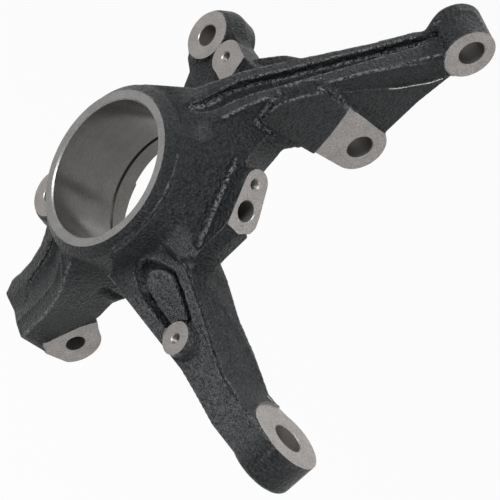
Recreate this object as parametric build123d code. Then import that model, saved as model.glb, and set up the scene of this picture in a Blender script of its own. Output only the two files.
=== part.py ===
from build123d import *
import os
from math import cos, radians, sin

# Steering knuckle of a strut front suspension: one iron casting, painted and then machined.
# Sizes are in millimetres.
# Frame: the origin is the centre of the wheel-bearing bore on its outboard face.
# -Y points outboard to the wheel, +Z up to the strut, +X along the car to the steering arm.

# Wheel-bearing barrel
bore_r = 40.0
barrel_length = 57.0
barrel_wall = 11.0
face_ring_w = 5.1
collar_slope_l = 5.5
barrel_back_chamfer = 2.0
ring_groove_inset = 12.0
ring_groove_w = 2.2
ring_groove_depth = 1.6
bore_chamfer = 0.8
back_relief_w = 7.0

# Flank of the body, between the strut arm and the steering arm.
# Its rim (X, Z) where it is cut at each Y, from the steering arm up to the strut arm.
flank_top_z = 98.0
flank_rims = {
    5.5: [(51, 2), (50, 11), (47, 20), (40.5, 31), (30, 41.5), (22, 48), (15, 58), (9, 66), (7, 74), (5, 82)],
    18.0: [(51.5, 2), (54.5, 12), (53.5, 20), (45.5, 34), (35.5, 44), (29, 50), (22.5, 58), (16, 66), (10, 74), (5, 82)],
    29.0: [(62, 2), (65.5, 9), (64.5, 15.5), (56, 28), (49, 39), (41.5, 49), (34, 56.5), (27, 62), (19, 69), (8, 80)],
    38.6: [(68, 2), (68, 11), (66, 20), (58, 37), (46, 50), (37, 57.5), (31.5, 62.5), (25, 68), (16, 74.5), (8, 81)],
    52.0: [(61, 2), (61, 11), (59, 20), (50, 34), (38, 46), (31, 54), (26.5, 61), (21.5, 67.5), (15.5, 73), (9, 80)],
    66.0: [(54, 2), (54, 11), (53, 20), (44, 33), (33, 43), (26, 50), (22.5, 57), (19.5, 64.5), (14, 72), (9, 80)],
    88.0: [(46, 2), (45.5, 11), (44, 20), (36, 32), (28, 40), (18, 48), (13.3, 58), (13, 66), (12.5, 72), (12, 82)],
}

# Strut arm and its two bolt eyes
strut_near_x = 13.0
strut_far_x = -11.5
strut_waist = 2.3
strut_waist_z = 138.0
strut_web_x = 11.0
strut_upper_y, strut_upper_z = 119.6, 173.0
strut_lower_y, strut_lower_z = 112.8, 91.7
strut_eye_r = 16.0
strut_upper_eye_r = 15.2
strut_upper_eye_shift = (-0.7, -1.2)
strut_eye_draft_deg = 4.5
strut_hole_r = 7.7
strut_foot_y, strut_foot_z = 6.5, 40.0
strut_knee_y, strut_knee_z = 13.5, 59.0
strut_bend_y, strut_bend_z = 31.0, 84.5
strut_rail_end_y, strut_rail_end_z = 104.0, 163.3
strut_web_y = 118.5
strut_heel_y, strut_heel_z = 66.0, 62.0
strut_bend_r = 30.0
strut_root_half = 30.0
strut_root_flare = 5.0
strut_root_z = 38.0

# Groove down the outboard side of the strut arm: its rim (X, Z), and its depth at each Z
arm_groove_rim = [
    (-2.5, 54.5), (-0.5, 62), (-3.6, 73), (-4.2, 95), (-4.8, 120), (-5.0, 145), (-5.0, 160), (-2.5, 168),
    (0.5, 161), (2.2, 148), (4.2, 126), (5.8, 105), (7.0, 88), (8.2, 72), (6.0, 59),
]
arm_groove_depth = {53.0: 0.0, 59.0: 2.8, 70.0: 6.0, 84.5: 8.0, 154.0: 8.0, 169.0: 0.5}

# Raised plate beside the lower strut bolt, as (Y, Z) outlines of its foot and of its top
plate_x = 17.0
plate_foot = [(38.6, 62), (38.2, 97), (45, 106), (56, 115.5), (63, 116.5), (69, 113.5), (77, 112), (90, 112), (96, 62)]
plate_top = [(41.2, 62), (41.2, 86), (48, 99.4), (58, 110.4), (61.5, 111.8), (67, 110), (74, 109.5), (88, 109), (94, 62)]
bolt_pad = [(87.9, 74.7), (86.1, 89.8), (81.7, 109.6), (117.8, 106.8), (140, 106), (140, 74.7)]

# Caliper ears
ear_x = -71.2
ear_z = 68.7
ear_face_y = 46.5
ear_thickness = 22.0
ear_face_r = 14.4
ear_lip_r, ear_lip_l = 16.6, 2.2
ear_belly_r, ear_belly_l = 19.8, 11.0
ear_back_r = 17.5
ear_belly_round = 8.0
ear_hole_r = 6.5
ear_web_inset = 7.5
ear_web_t = 14.0
# Webs of the ears (X, Z), from the boss to the barrel and the strut arm or the leg
upper_web = [
    (-83.2, 60.7), (-73.2, 49.7), (-63.2, 47), (-58, 40), (-44, 24), (0, 30), (-5, 92), (-24, 90),
    (-34, 83.5), (-44, 84), (-57.2, 82.7), (-71.2, 83.7),
]
upper_flare = [(-34, 83.5), (-28.9, 90), (-21.1, 98.8), (-11.7, 108.3), (-5, 114.5), (0, 116), (0, 80), (-30, 74)]
lower_web = [
    (-68.2, -82.7), (-84.2, -64.7), (-75.2, -53.7), (-46, -22), (-20, -20), (-12, -48), (-14, -82), (-30, -76),
]

# Splash-shield screw bosses
shield_y = 42.0
shield_upper_x, shield_upper_z = -41.4, 75.2
shield_lower_x, shield_lower_z = 89.4, -24.5
shield_upper_r = 10.2
shield_upper_tear = [(0.0, -9.8), (12.0, -9.6), (14.6, -2.0), (11.0, 10.0), (0.0, 10.0)]
shield_bridge_step = 1.6
shield_bridge = [(0.0, -9.0), (34.0, -12.0), (34.0, 18.0), (11.0, 9.6)]
shield_lower_r = 9.4
shield_lower_h = 24.0
shield_hole_r = 2.6
shield_hole_depth = 14.0

# Steering arm
arm_slope_deg = 31.0
eye_x, eye_y, eye_z = 141.9, 102.8, -20.0
eye_r = 20.8
eye_height = 22.5
eye_hole_r = 9.0
eye_spot_r = 23.3
eye_edge_round = 1.5
# Cuts across the arm: X, outboard edge Z, ridge Y and Z, inboard edge Y and Z, bottom Z
arm_cuts = [
    (42, 11.5, 30, 14, 56, 12, -35.5),
    (66, 3.8, 42, 8.5, 62, 8, -35.5),
    (85, -4.6, 55, 0, 70, 0.5, -35.5),
    (99, -11.6, 66, -7.5, 85, -8, -35.5),
    (113, -18.2, 79, -16.5, 101, -18.5, -38),
    (127, -20, 88, -19.5, 116, -20, -41),
]

# Pocket in the steering arm and the island in it, in the arm's own plane (along it, Z)
pocket_rim = [
    (-124, -15), (-115.4, -7.1), (-104, -3.2), (-92, -6.6), (-78, -13), (-78, -27.6), (-98.7, -27.2),
    (-110, -25.8), (-119, -22),
]
pocket_island = [
    (-114.5, -14.5), (-110, -9.2), (-103, -6.4), (-93, -10.2), (-80, -15.5), (-80, -25), (-97, -24.4), (-110, -23),
]
pocket_round = 3.0
pocket_depth = 7.0
pocket_island_drop = 2.2

# Wheel-speed sensor boss
sensor_angle_deg = 37.6
sensor_rho = 77.7
sensor_y = 38.3
sensor_hole_r = 5.75
sensor_half_w = 9.4
sensor_tip_r = 8.4
sensor_low = [(0.3, -12.0), (8.0, -10.0), (10.4, -6.0), (10.4, 0.0)]
sensor_low_t = -10.5
sensor_screw_t, sensor_screw_y = 15.0, -0.8
sensor_screw_r = 2.6
sensor_screw_depth = 16.0
sensor_depth = 30.0
sensor_wall_x = 69.4
sensor_wall_front, sensor_wall_back = 1.4, 2.0
sensor_wall_low_z = 11.0
sensor_root = [(60, 12), (69, 12), (69, -6), (60, -6)]

# Ball-joint leg and its pinch lug
leg_bottom_z = -116.0
leg_near_x, leg_far_x = 17.0, -19.0
leg_front_top_y, leg_front_top_z = 10.5, -52.0
leg_front_low_y, leg_front_low_z = 34.5, -113.0
leg_top_z = -30.0
# Rim of the leg (X, Z) at its outboard and at its inboard end
leg_out_y, leg_in_y = 4.0, 66.0
leg_out_rim = [
    (-22, -38), (-12.5, -60), (-11, -68), (-13, -82), (-19, -95), (-28, -106), (-30, -116),
    (4, -116), (9, -112), (27.5, -90), (32, -74), (31, -64), (28, -57), (24, -48), (24, -30),
]
leg_in_rim = [
    (-20, -38), (-14, -60), (-13, -68), (-16, -82), (-19, -95), (-20, -104), (-19, -116),
    (19, -116), (20, -112), (16, -90), (17.5, -77), (17.0, -66), (22, -59), (30, -50), (40, -30),
]
leg_back_y, leg_back_z0, leg_back_z1 = 61.0, -82.0, -66.0
leg_pad = [(44.5, -114.3), (50.4, -99.6), (56.3, -88.6), (62.9, -80.9), (90, -80.9)]
pinch_y, pinch_z = 64.8, -101.8
pinch_r = 15.3
pinch_hole_r = 5.7
pinch_seat_r = 12.0
stud_y = 52.6
stud_hole_r = 8.5
stud_hole_depth = 42.0
slit_w = 3.5
slit_over = 2.0
# Channel down the outboard side of the leg: at each Z its far edge X, its bottom X, its near edge X and its depth
leg_channel_cuts = {
    -50.0: (-3.2, -1.6, 12.0, 2.5),
    -62.0: (-1.8, 0.0, 17.5, 3.8),
    -74.0: (-2.8, -0.8, 18.5, 3.6),
    -90.0: (-7.0, -4.0, 12.5, 2.2),
    -118.0: (-22.0, -11.0, -1.0, 1.8),
}

# Worked-out sizes
barrel_r = bore_r + barrel_wall
ring_r = bore_r + face_ring_w
ring_groove_y = barrel_length - ring_groove_inset
back_relief_r = bore_r + back_relief_w
ear_web_y = barrel_length - ear_web_inset
strut_lower_low_z = strut_lower_z - strut_eye_r
stud_hole_top_z = leg_bottom_z + stud_hole_depth
reach = 40.0
skim = 1.0
arm_dir = (cos(radians(arm_slope_deg)), sin(radians(arm_slope_deg)))
arm_out = (arm_dir[1], -arm_dir[0])
sensor_dir = (cos(radians(sensor_angle_deg)), sin(radians(sensor_angle_deg)))


def front(y=0.0):
    """Sketch plane seen from the wheel: local x is X, local y is Z, normal outboard."""
    return Plane(origin=(0, y, 0), x_dir=(1, 0, 0), z_dir=(0, -1, 0))


def side(x=0.0):
    """Sketch plane seen from the steering arm: local x is Y, local y is Z, normal +X."""
    return Plane.YZ.offset(x)


def inboard(sketch, y0, y1):
    """Extrude a front sketch from y0 inboard to y1."""
    return extrude(front(y0) * sketch, amount=y0 - y1)


def across(sketch, x0, x1):
    """Extrude a side sketch from x0 to x1."""
    return extrude(side(x0) * sketch, amount=x1 - x0)


def pin(centre, axis, radius, length):
    """A cylinder that starts at centre and runs along axis."""
    return extrude(Plane(origin=centre, z_dir=axis) * Circle(radius), amount=length)


def outline(points, radius=0.0):
    """A closed outline that faces up, with its corners rounded if a radius is given."""
    shape = Polygon(*points, align=None)
    if shape.face().normal_at().Z < 0:
        shape = Polygon(*reversed(points), align=None)
    return fillet(shape.vertices(), radius) if radius else shape


def shifted(points, x, z):
    """Points given from a centre, moved to that centre."""
    return [(x + a, z + b) for a, b in points]


def between(table, z):
    """The value at z of a table of values, on straight lines between its entries."""
    keys = sorted(table)
    low = max([k for k in keys[:-1] if k <= z], default=keys[0])
    high = keys[keys.index(low) + 1]
    share = (z - low) / (high - low)
    return table[low] + share * (table[high] - table[low])


def turned_about_y(profile):
    """Revolve a profile of (radius, y) points about the bore axis."""
    return revolve(Polygon(*profile, align=None), axis=Axis.Y)


def barrel():
    return turned_about_y([
        (0, 0),
        (ring_r, 0),
        (barrel_r, collar_slope_l),
        (barrel_r, barrel_length - barrel_back_chamfer),
        (barrel_r - barrel_back_chamfer, barrel_length),
        (0, barrel_length),
    ])


def flank():
    """The side of the body, which widens inboard up to the parting line, then draws back."""
    cuts = []
    for y, rim in flank_rims.items():
        first, last = rim[0], rim[-1]
        closing = Polyline(last, (last[0], flank_top_z), (0, flank_top_z), (0, first[1]), first)
        cuts.append(front(y) * make_face(Spline(*rim) + closing))
    hub_side = outline([(collar_slope_l, 0), (collar_slope_l, barrel_r), (barrel_length, barrel_r), (barrel_length, 0)])
    return loft(cuts, ruled=True) & across(strut_side_outline() + hub_side, 0, 2 * barrel_r)


def strut_side_outline():
    """The strut arm seen from the side, with its lower bolt eye."""
    low_z = strut_lower_low_z
    body = outline([
        (strut_foot_y, strut_foot_z),
        (strut_knee_y, strut_knee_z),
        (strut_bend_y, strut_bend_z),
        (strut_rail_end_y, strut_rail_end_z),
        (strut_upper_y, strut_upper_z),
        (strut_web_y + 4, strut_upper_z - strut_eye_r / 2),
        (strut_web_y, (strut_upper_z + strut_lower_z) / 2),
        (strut_web_y, strut_lower_z + strut_eye_r / 2),
        (strut_lower_y, low_z),
        (strut_heel_y + 11, low_z - 0.5),
        (strut_heel_y + 3, low_z - 6.5),
        (strut_heel_y, strut_heel_z),
        (barrel_length, strut_foot_z),
    ])
    knees = body.vertices().filter_by(
        lambda v: abs(v.Y - strut_knee_z) < skim or abs(v.Y - strut_bend_z) < skim)
    return fillet(knees, strut_bend_r) + Pos(strut_lower_y, strut_lower_z) * Circle(strut_eye_r)


def strut_front_outline():
    """The strut arm seen from the wheel: a straight arm on a root that flares into the barrel."""
    top_z = strut_upper_z - strut_eye_r / 2
    return outline([
        (-strut_root_half, 0),
        (-strut_root_half - strut_root_flare, strut_root_z),
        (strut_far_x, strut_knee_z + 3),
        (strut_far_x, strut_bend_z + 10),
        (strut_far_x + strut_waist, strut_waist_z),
        (strut_far_x + strut_waist / 2, top_z),
        (strut_near_x, top_z),
        (strut_near_x, strut_bend_z + 10),
        (strut_near_x + 4, strut_knee_z + 10),
        (strut_near_x + 6, strut_knee_z - 2),
        (strut_root_half, strut_root_z + 3),
        (strut_root_half, 0),
    ])


def strut_eye():
    """The upper bolt eye, which grows wider towards its far end."""
    dy, dz = strut_upper_eye_shift
    disc = Pos(strut_upper_y + dy, strut_upper_z + dz) * Circle(strut_upper_eye_r)
    return extrude(side(strut_near_x) * disc, amount=strut_far_x - strut_near_x, taper=-strut_eye_draft_deg)


def strut_arm():
    solid = across(strut_side_outline(), -2 * strut_root_half, 2 * strut_root_half)
    solid &= inboard(strut_front_outline(), 0, strut_upper_y + strut_eye_r + reach)
    return solid + strut_eye()


def strut_front_y(z):
    """Y of the strut arm's outboard side at a given Z."""
    return between({
        strut_foot_z: strut_foot_y, strut_knee_z: strut_knee_y, strut_bend_z: strut_bend_y,
        strut_rail_end_z: strut_rail_end_y}, z)


def arm_groove():
    """The groove between the two rails of the strut arm, shallow at both ends."""
    slot = make_face(Spline(*arm_groove_rim, periodic=True))
    floor = [(strut_front_y(z) + depth, z) for z, depth in arm_groove_depth.items()]
    band = outline([(-reach, floor[0][1]), *floor, (-reach, floor[-1][1])])
    return inboard(slot, 0, strut_upper_y + strut_eye_r) & across(band, strut_far_x, strut_near_x)


def bolt_plate():
    """The raised plate beside the lower strut bolt, with its sloped edges."""
    solid = loft([side(strut_web_x) * outline(plate_foot), side(plate_x) * outline(plate_top)], ruled=True)
    low = [(0, strut_lower_low_z), (2 * strut_lower_y, strut_lower_low_z), (2 * strut_lower_y, 0), (0, 0)]
    return solid - across(outline(low), 0, plate_x + skim)


def ear_boss(sign):
    profile = outline([
        (0, 0),
        (ear_face_r, 0),
        (ear_lip_r, ear_lip_l),
        (ear_belly_r, ear_belly_l),
        (ear_back_r, ear_thickness),
        (0, ear_thickness),
    ])
    belly = profile.vertices().sort_by(Axis.X)[-1]
    solid = revolve(fillet(belly, ear_belly_round), axis=Axis.Y)
    return Pos(ear_x, ear_face_y, sign * ear_z) * solid


def upper_ear():
    solid = inboard(outline(upper_web), ear_web_y, ear_web_y + ear_web_t) + ear_boss(1)
    flare = inboard(outline(upper_flare), ear_web_y, ear_web_y + ear_web_t)
    solid += flare & across(strut_side_outline(), -reach, 0)
    x, z = shield_upper_x, shield_upper_z
    drop = Pos(x, z) * Circle(shield_upper_r) + outline(shifted(shield_upper_tear, x, z))
    bridge = outline(shifted(shield_bridge, x, z))
    solid += inboard(bridge, shield_y + shield_bridge_step, ear_web_y + ear_web_t / 2)
    return solid + inboard(drop, shield_y, ear_web_y + ear_web_t / 2)


def lower_ear():
    return inboard(outline(lower_web), ear_web_y, ear_web_y + ear_web_t) + ear_boss(-1)


def on_arm(s, w):
    """A point (X, Y) given along the steering arm (s) and outboard of its middle (w)."""
    return (eye_x + s * arm_dir[0] + w * arm_out[0], eye_y + s * arm_dir[1] + w * arm_out[1])


def arm_face_y(x):
    """Y of the steering arm's outboard face at a given X."""
    face_x, face_y = on_arm(0, eye_r)
    return face_y + (x - face_x) * arm_dir[1] / arm_dir[0]


def arm_face():
    """Plane of the steering arm's outboard face: x along the arm, y up."""
    return Plane(origin=(*on_arm(0, eye_r), 0), x_dir=(*arm_dir, 0), z_dir=(*arm_out, 0))


def outboard_of_arm():
    """Everything outboard of the steering arm's outboard face."""
    return extrude(arm_face() * Rectangle(4 * eye_x, 4 * eye_x), amount=eye_x)


def steering_arm():
    cuts = []
    for x, out_z, ridge_y, ridge_z, in_y, in_z, low_z in arm_cuts:
        out_y = arm_face_y(x)
        cuts.append(side(x) * outline([(out_y, low_z), (out_y, out_z), (ridge_y, ridge_z), (in_y, in_z), (in_y, low_z)]))
    boss = Pos(eye_x, eye_y, eye_z - eye_height) * extrude(Circle(eye_r), amount=eye_height)
    boss = fillet(boss.edges().sort_by(Axis.Z)[0], eye_edge_round)
    last_x, last_in_y, last_low = arm_cuts[-1][0], arm_cuts[-1][4], arm_cuts[-1][6]
    neck = outline([(last_x, arm_face_y(last_x)), on_arm(0, eye_r), (eye_x, eye_y), (last_x, last_in_y)])
    solid = loft(cuts, ruled=True) + boss + Pos(0, 0, last_low) * extrude(neck, amount=eye_z - last_low)
    return solid + shield_lower_boss()


def shield_lower_boss():
    disc = Pos(shield_lower_x, shield_lower_z) * Circle(shield_lower_r)
    return inboard(disc, shield_y, shield_y + shield_lower_h)


def arm_pocket():
    """The pocket in the arm's outboard face, cut round a low island."""
    floor = arm_face().offset(-pocket_depth)
    cut = extrude(floor * outline(pocket_rim, pocket_round), amount=2 * pocket_depth)
    island = extrude(floor * outline(pocket_island, pocket_round), amount=pocket_depth - pocket_island_drop)
    return cut - island - shield_lower_boss()


def sensor_plane():
    """Plane of the sensor face: local y runs up along the rim of the barrel, local z outward."""
    d = sensor_dir
    centre = (sensor_rho * d[0], sensor_y, sensor_rho * d[1])
    return Plane(origin=centre, x_dir=(0, 1, 0), z_dir=(d[0], 0, d[1]))


def sensor_boss():
    """The sensor boss, with the wall below it that runs down to the steering arm."""
    w, r, t = sensor_half_w, sensor_tip_r, sensor_screw_t
    sketch = outline([(-w, sensor_low_t), *sensor_low, (r, t), (-r, t)]) + Pos(0, t) * Circle(r)
    block = extrude(sensor_plane() * sketch, amount=-sensor_depth)
    wall = outline([
        (sensor_wall_x - reach, sensor_y - w),
        (sensor_wall_x - sensor_wall_front, sensor_y - w),
        (sensor_wall_x, sensor_y),
        (sensor_wall_x - sensor_wall_back, sensor_y + w),
        (sensor_wall_x - reach, sensor_y + w),
    ])
    wall_top_z = (sensor_rho - sensor_wall_x * sensor_dir[0]) / sensor_dir[1]
    block += extrude(Pos(0, 0, sensor_wall_low_z) * wall, amount=wall_top_z - sensor_wall_low_z)
    root = inboard(outline(sensor_root), 0, sensor_y + w)
    return block + (root - outboard_of_arm())


def leg_front_y(z):
    """Y of the leg's outboard side at a given Z."""
    slope = (leg_front_low_y - leg_front_top_y) / (leg_front_low_z - leg_front_top_z)
    return leg_front_top_y + (z - leg_front_top_z) * slope


def leg_channel():
    """The channel down the outboard side of the leg, steep on its far side."""
    cuts = []
    for z, (far_x, bottom_x, near_x, depth) in leg_channel_cuts.items():
        y = leg_front_y(z)
        cuts.append(Pos(0, 0, z) * outline([
            (far_x, y - reach), (near_x, y - reach), (near_x, y), (bottom_x, y + depth), (far_x, y)]))
    return loft(cuts, ruled=True)


def leg():
    """The leg down to the ball joint, with the round lug of its pinch bolt."""
    rims = ((leg_out_y, leg_out_rim), (leg_in_y, leg_in_rim))
    solid = loft([front(y) * outline(rim) for y, rim in rims], ruled=True)
    side_view = outline([
        (leg_out_y, leg_top_z),
        (leg_front_top_y, leg_front_top_z),
        (leg_front_low_y, leg_front_low_z),
        (leg_front_low_y + 1, leg_bottom_z),
        (leg_in_y, leg_bottom_z),
        (leg_in_y, leg_back_z0 - 8),
        (leg_back_y, leg_back_z0),
        (leg_back_y, leg_back_z1),
        (barrel_length, leg_front_top_z + 4),
        (barrel_length, leg_top_z),
    ])
    solid &= across(side_view, -2 * reach, 2 * reach)
    lug = Pos(pinch_y, pinch_z) * Circle(pinch_r)
    lug += outline([
        (stud_y, leg_bottom_z), (stud_y, leg_back_z0 + 1), (leg_back_y + 1.9, leg_back_z0 + 1.1),
        (pinch_y + 12.4, pinch_z + 8.6), (pinch_y, leg_bottom_z)])
    solid += across(lug, leg_far_x, leg_near_x)
    under = Pos(0, pinch_y, leg_bottom_z - reach) * Box(4 * reach, 4 * reach, 2 * reach)
    return solid - leg_channel() - under


def turning():
    """The bearing bore, its face, the ring groove and the relief behind the barrel."""
    return turned_about_y([
        (0, -reach),
        (bore_r + bore_chamfer, -reach),
        (bore_r + bore_chamfer, 0),
        (bore_r, bore_chamfer),
        (bore_r, ring_groove_y),
        (bore_r + ring_groove_depth, ring_groove_y),
        (bore_r + ring_groove_depth, ring_groove_y + ring_groove_w),
        (bore_r, ring_groove_y + ring_groove_w),
        (bore_r, barrel_length),
        (back_relief_r, barrel_length),
        (back_relief_r, barrel_length + reach),
        (0, barrel_length + reach),
    ])


def strut_machining():
    """The pads and the through holes of the two strut bolts."""
    cuts = across(outline(bolt_pad), strut_near_x, strut_near_x + reach)
    cuts += across(Pos(strut_lower_y, strut_lower_z) * Circle(strut_eye_r + skim), strut_near_x, strut_near_x + reach)
    cuts += across(Pos(strut_upper_y, strut_upper_z) * Circle(strut_eye_r + skim), strut_near_x, strut_near_x + reach)
    for y, z in ((strut_upper_y, strut_upper_z), (strut_lower_y, strut_lower_z)):
        cuts += pin((strut_far_x - reach, y, z), (1, 0, 0), strut_hole_r, 3 * reach)
    return cuts


def screw_machining():
    """The caliper holes and the tapped holes of the splash shield."""
    cuts = [pin((ear_x, ear_face_y - reach, sign * ear_z), (0, 1, 0), ear_hole_r, 3 * reach) for sign in (1, -1)]
    for x, z in ((shield_upper_x, shield_upper_z), (shield_lower_x, shield_lower_z)):
        cuts.append(pin((x, shield_y - skim, z), (0, 1, 0), shield_hole_r, shield_hole_depth + skim))
    return cuts


def arm_machining():
    """The spot face and the bore of the tie-rod eye, and the sensor's two holes."""
    low = eye_z - eye_height
    return [
        Pos(eye_x, eye_y, eye_z) * extrude(Circle(eye_spot_r), amount=reach),
        Pos(eye_x, eye_y, low - skim) * extrude(Circle(eye_hole_r), amount=eye_height + 2 * skim),
        extrude(sensor_plane() * Circle(sensor_hole_r), amount=-sensor_rho),
        extrude(sensor_plane() * Pos(sensor_screw_y, sensor_screw_t) * Circle(sensor_screw_r), amount=-sensor_screw_depth),
    ]


def leg_machining():
    """The pinch bolt's pad, seat and hole, the stud socket and the slit that lets it close."""
    mill_z = leg_bottom_z - skim
    pad = outline([(leg_pad[0][0], mill_z), *leg_pad, (leg_pad[-1][0], mill_z)])
    slit_z = stud_hole_top_z + slit_over
    slit = outline([(stud_y, mill_z), (stud_y + reach, mill_z), (stud_y + reach, slit_z), (stud_y, slit_z)])
    return [
        across(pad, leg_near_x, leg_near_x + reach),
        across(Pos(pinch_y, pinch_z) * Circle(pinch_seat_r), leg_far_x - reach, leg_far_x),
        pin((leg_far_x - reach, pinch_y, pinch_z), (1, 0, 0), pinch_hole_r, 3 * reach),
        pin((0, stud_y, mill_z), (0, 0, 1), stud_hole_r, stud_hole_depth + skim),
        across(slit, -slit_w / 2, slit_w / 2),
    ]


def knuckle():
    casting = barrel() + flank() + strut_arm() + bolt_plate()
    casting += upper_ear() + lower_ear()
    casting += steering_arm() + sensor_boss() + leg()
    casting -= arm_groove()
    casting -= arm_pocket()
    casting -= turning() + strut_machining()
    for cut in screw_machining() + arm_machining() + leg_machining():
        casting -= cut
    return casting


if __name__ == "__main__":
    os.makedirs("parts", exist_ok=True)
    part = knuckle()
    solids = part.solids()
    print("solids", len(solids), [round(s.volume / 1000, 1) for s in solids])
    export_step(part, "parts/knuckle_casting.step")
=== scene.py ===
import logging
import math
from dataclasses import dataclass, field
from enum import Enum, IntEnum

import bmesh
import bpy
import numpy as np
from mathutils import Matrix, Vector

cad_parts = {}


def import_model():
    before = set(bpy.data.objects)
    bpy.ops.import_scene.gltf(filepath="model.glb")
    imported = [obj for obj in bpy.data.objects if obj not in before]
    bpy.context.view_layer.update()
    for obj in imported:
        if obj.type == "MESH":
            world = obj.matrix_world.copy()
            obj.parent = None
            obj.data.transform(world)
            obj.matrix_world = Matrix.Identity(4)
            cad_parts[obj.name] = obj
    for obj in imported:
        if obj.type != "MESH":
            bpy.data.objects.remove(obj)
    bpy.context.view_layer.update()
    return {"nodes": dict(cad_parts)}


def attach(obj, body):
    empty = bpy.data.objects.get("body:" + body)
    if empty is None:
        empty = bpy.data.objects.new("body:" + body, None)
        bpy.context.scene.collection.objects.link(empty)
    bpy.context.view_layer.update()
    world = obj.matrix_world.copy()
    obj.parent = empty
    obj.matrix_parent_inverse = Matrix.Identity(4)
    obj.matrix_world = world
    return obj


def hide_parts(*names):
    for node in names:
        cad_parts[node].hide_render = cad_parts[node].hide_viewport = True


LOG = logging.getLogger("knuckle")
MM = 0.001
NODE = "knuckle_casting"
BODY = "root"

WHITE = (1.0, 1.0, 1.0, 1.0)
PALE = (0.8, 0.8, 0.8, 1.0)
FLOOR_GLOW = 0.95
NOISE_SPAN = (0.36, 0.64)
# Masks for the paint: hollow and edge place light specks, which are partly wear and partly painted highlight;
# coarse places sand grit, which is partly painted highlight.
SKIN_MARKS = ("hollow", "edge", "coarse")
STOCK = 1.6
MERGE = 0.002 * MM
LEVEL = 0.999
ALONG_X = Matrix(((0, 1, 0), (0, 0, 1), (1, 0, 0))).transposed()
ROUND_RATE = 14.0
TINY = 1e-9


class Tool(Enum):
    """How a machined surface was made, which sets the marks on it."""

    MILLED = "milled"
    TURNED = "turned"
    BORED = "bored"
    DRILLED = "drilled"


class Cut(IntEnum):
    """Place of each finish in the casting's list of materials."""

    SKIN = 0
    MILLED = 1
    TURNED = 2
    BORED = 3
    DRILLED = 4


@dataclass(frozen=True)
class MetalFinish:
    """Bare machined iron.

    Args:
        name: Name of the material.
        tool: The tool that left the marks.
        colour: Linear base colour.
        roughness: Mean roughness.
        grain: How far the fine grain moves the colour.
        marks_mm: Width of one tool mark.
        relief_mm: Height of the marks.
        cloud_mm: Sizes of the slow clouds and of the fine grain in them.
        mark_shade: Colour in a mark, as a share of the base colour.
        gloss_swing: How far a mark moves the roughness.
        metallic: How metallic the dull iron is.
    """

    name: str
    tool: Tool
    colour: tuple[float, float, float]
    roughness: float
    grain: float
    marks_mm: float
    relief_mm: float
    cloud_mm: tuple[float, float] = (9.0, 0.75)
    mark_shade: float = 0.55
    gloss_swing: float = 0.06
    metallic: float = 0.55


@dataclass(frozen=True)
class CastFinish:
    """Dark satin paint on a sand-cast skin.

    Args:
        name: Name of the material.
        colour: Linear colour of the paint.
        wear_and_highlight: Linear colour of the light specks in corners and on edges, partly wear, partly
            painted highlight.
        roughness: Mean roughness of the paint.
        pit_mm: Size of the fine pits.
        swell_mm: Size of the slow waves of the skin.
        relief_mm: Height of the pits.
        spread: Colour of the darkest and of the lightest grain, as shares of the paint's.
        speck_mm: Sizes of the light specks, coarse and fine.
        speck_span: Heights of the noise between which a speck grows to its full strength.
        speck_share: How much of the wear_and_highlight colour a full speck has.
        edge_share: Strength of the specks on an edge, where a hollow has 1.
        sand_mm: Sizes of the sand grains, coarse and fine.
        grit_share: How much of the grit's colour a full sand grain has.
        grit_tone: Colour of the grit, as a share of the wear_and_highlight colour.
        gloss_swing: How far the grain moves the roughness.
        specular: Specular level of the paint.
    """

    name: str
    colour: tuple[float, float, float]
    wear_and_highlight: tuple[float, float, float]
    roughness: float
    pit_mm: float
    swell_mm: float
    relief_mm: float
    spread: tuple[float, float] = (0.4, 1.9)
    speck_mm: tuple[float, float] = (2.2, 0.9)
    speck_span: tuple[float, float] = (0.45, 0.56)
    speck_share: float = 0.62
    edge_share: float = 0.8
    sand_mm: tuple[float, float] = (2.0, 0.8)
    grit_share: float = 0.75
    grit_tone: float = 0.55
    gloss_swing: float = 0.1
    specular: float = 0.2


PAINT = CastFinish("cast_paint", (0.0098, 0.0110, 0.0120), (0.30, 0.31, 0.32), 0.34, 1.75, 6.0, 3.5)
MILLED = MetalFinish("milled_iron", Tool.MILLED, (0.29, 0.272, 0.26), 0.42, 0.36, 0.6, 0.02)
TURNED = MetalFinish("turned_iron", Tool.TURNED, (0.235, 0.232, 0.226), 0.34, 0.42, 0.35, 0.012)
BORED = MetalFinish("bored_iron", Tool.BORED, (0.14, 0.133, 0.126), 0.24, 0.3, 0.3, 0.006)
DRILLED = MetalFinish("drilled_iron", Tool.DRILLED, (0.16, 0.155, 0.15), 0.45, 0.10, 0.4, 0.006)
FLASH = MetalFinish("ground_flash", Tool.MILLED, (0.36, 0.35, 0.335), 0.45, 0.6, 0.6, 0.02)


def vec(x: float, y: float, z: float) -> Vector:
    """A point given in millimetres, in metres."""
    return Vector((x, y, z)) * MM


def link(name: str, mesh: bpy.types.Mesh) -> bpy.types.Object:
    """Put a mesh into the scene under a name.

    Args:
        name: Name of the new object.
        mesh: Its mesh, in the part's frame.

    Returns:
        The object, at the origin.
    """
    obj = bpy.data.objects.new(name, mesh)
    bpy.context.scene.collection.objects.link(obj)
    return obj


def drop(obj: bpy.types.Object) -> None:
    """Take a helper object and its mesh out of the file.

    Args:
        obj: The helper.
    """
    mesh = obj.data
    bpy.data.objects.remove(obj)
    bpy.data.meshes.remove(mesh)


def baked(obj: bpy.types.Object) -> None:
    """Turn an object's modifiers into plain mesh.

    Args:
        obj: The object, which keeps its name and loses its modifiers.
    """
    graph = bpy.context.evaluated_depsgraph_get()
    graph.update()
    mesh = bpy.data.meshes.new_from_object(obj.evaluated_get(graph), depsgraph=graph)
    old = obj.data
    obj.modifiers.clear()
    obj.data = mesh
    bpy.data.meshes.remove(old)


def metres(points: list[tuple[float, float]]) -> list[tuple[float, float]]:
    """Points given in millimetres, in metres."""
    return [(a * MM, b * MM) for a, b in points]


def scale(size_mm: float) -> float:
    """The scale of a noise whose grains have a size in millimetres."""
    return 1 / (size_mm * MM)


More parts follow.
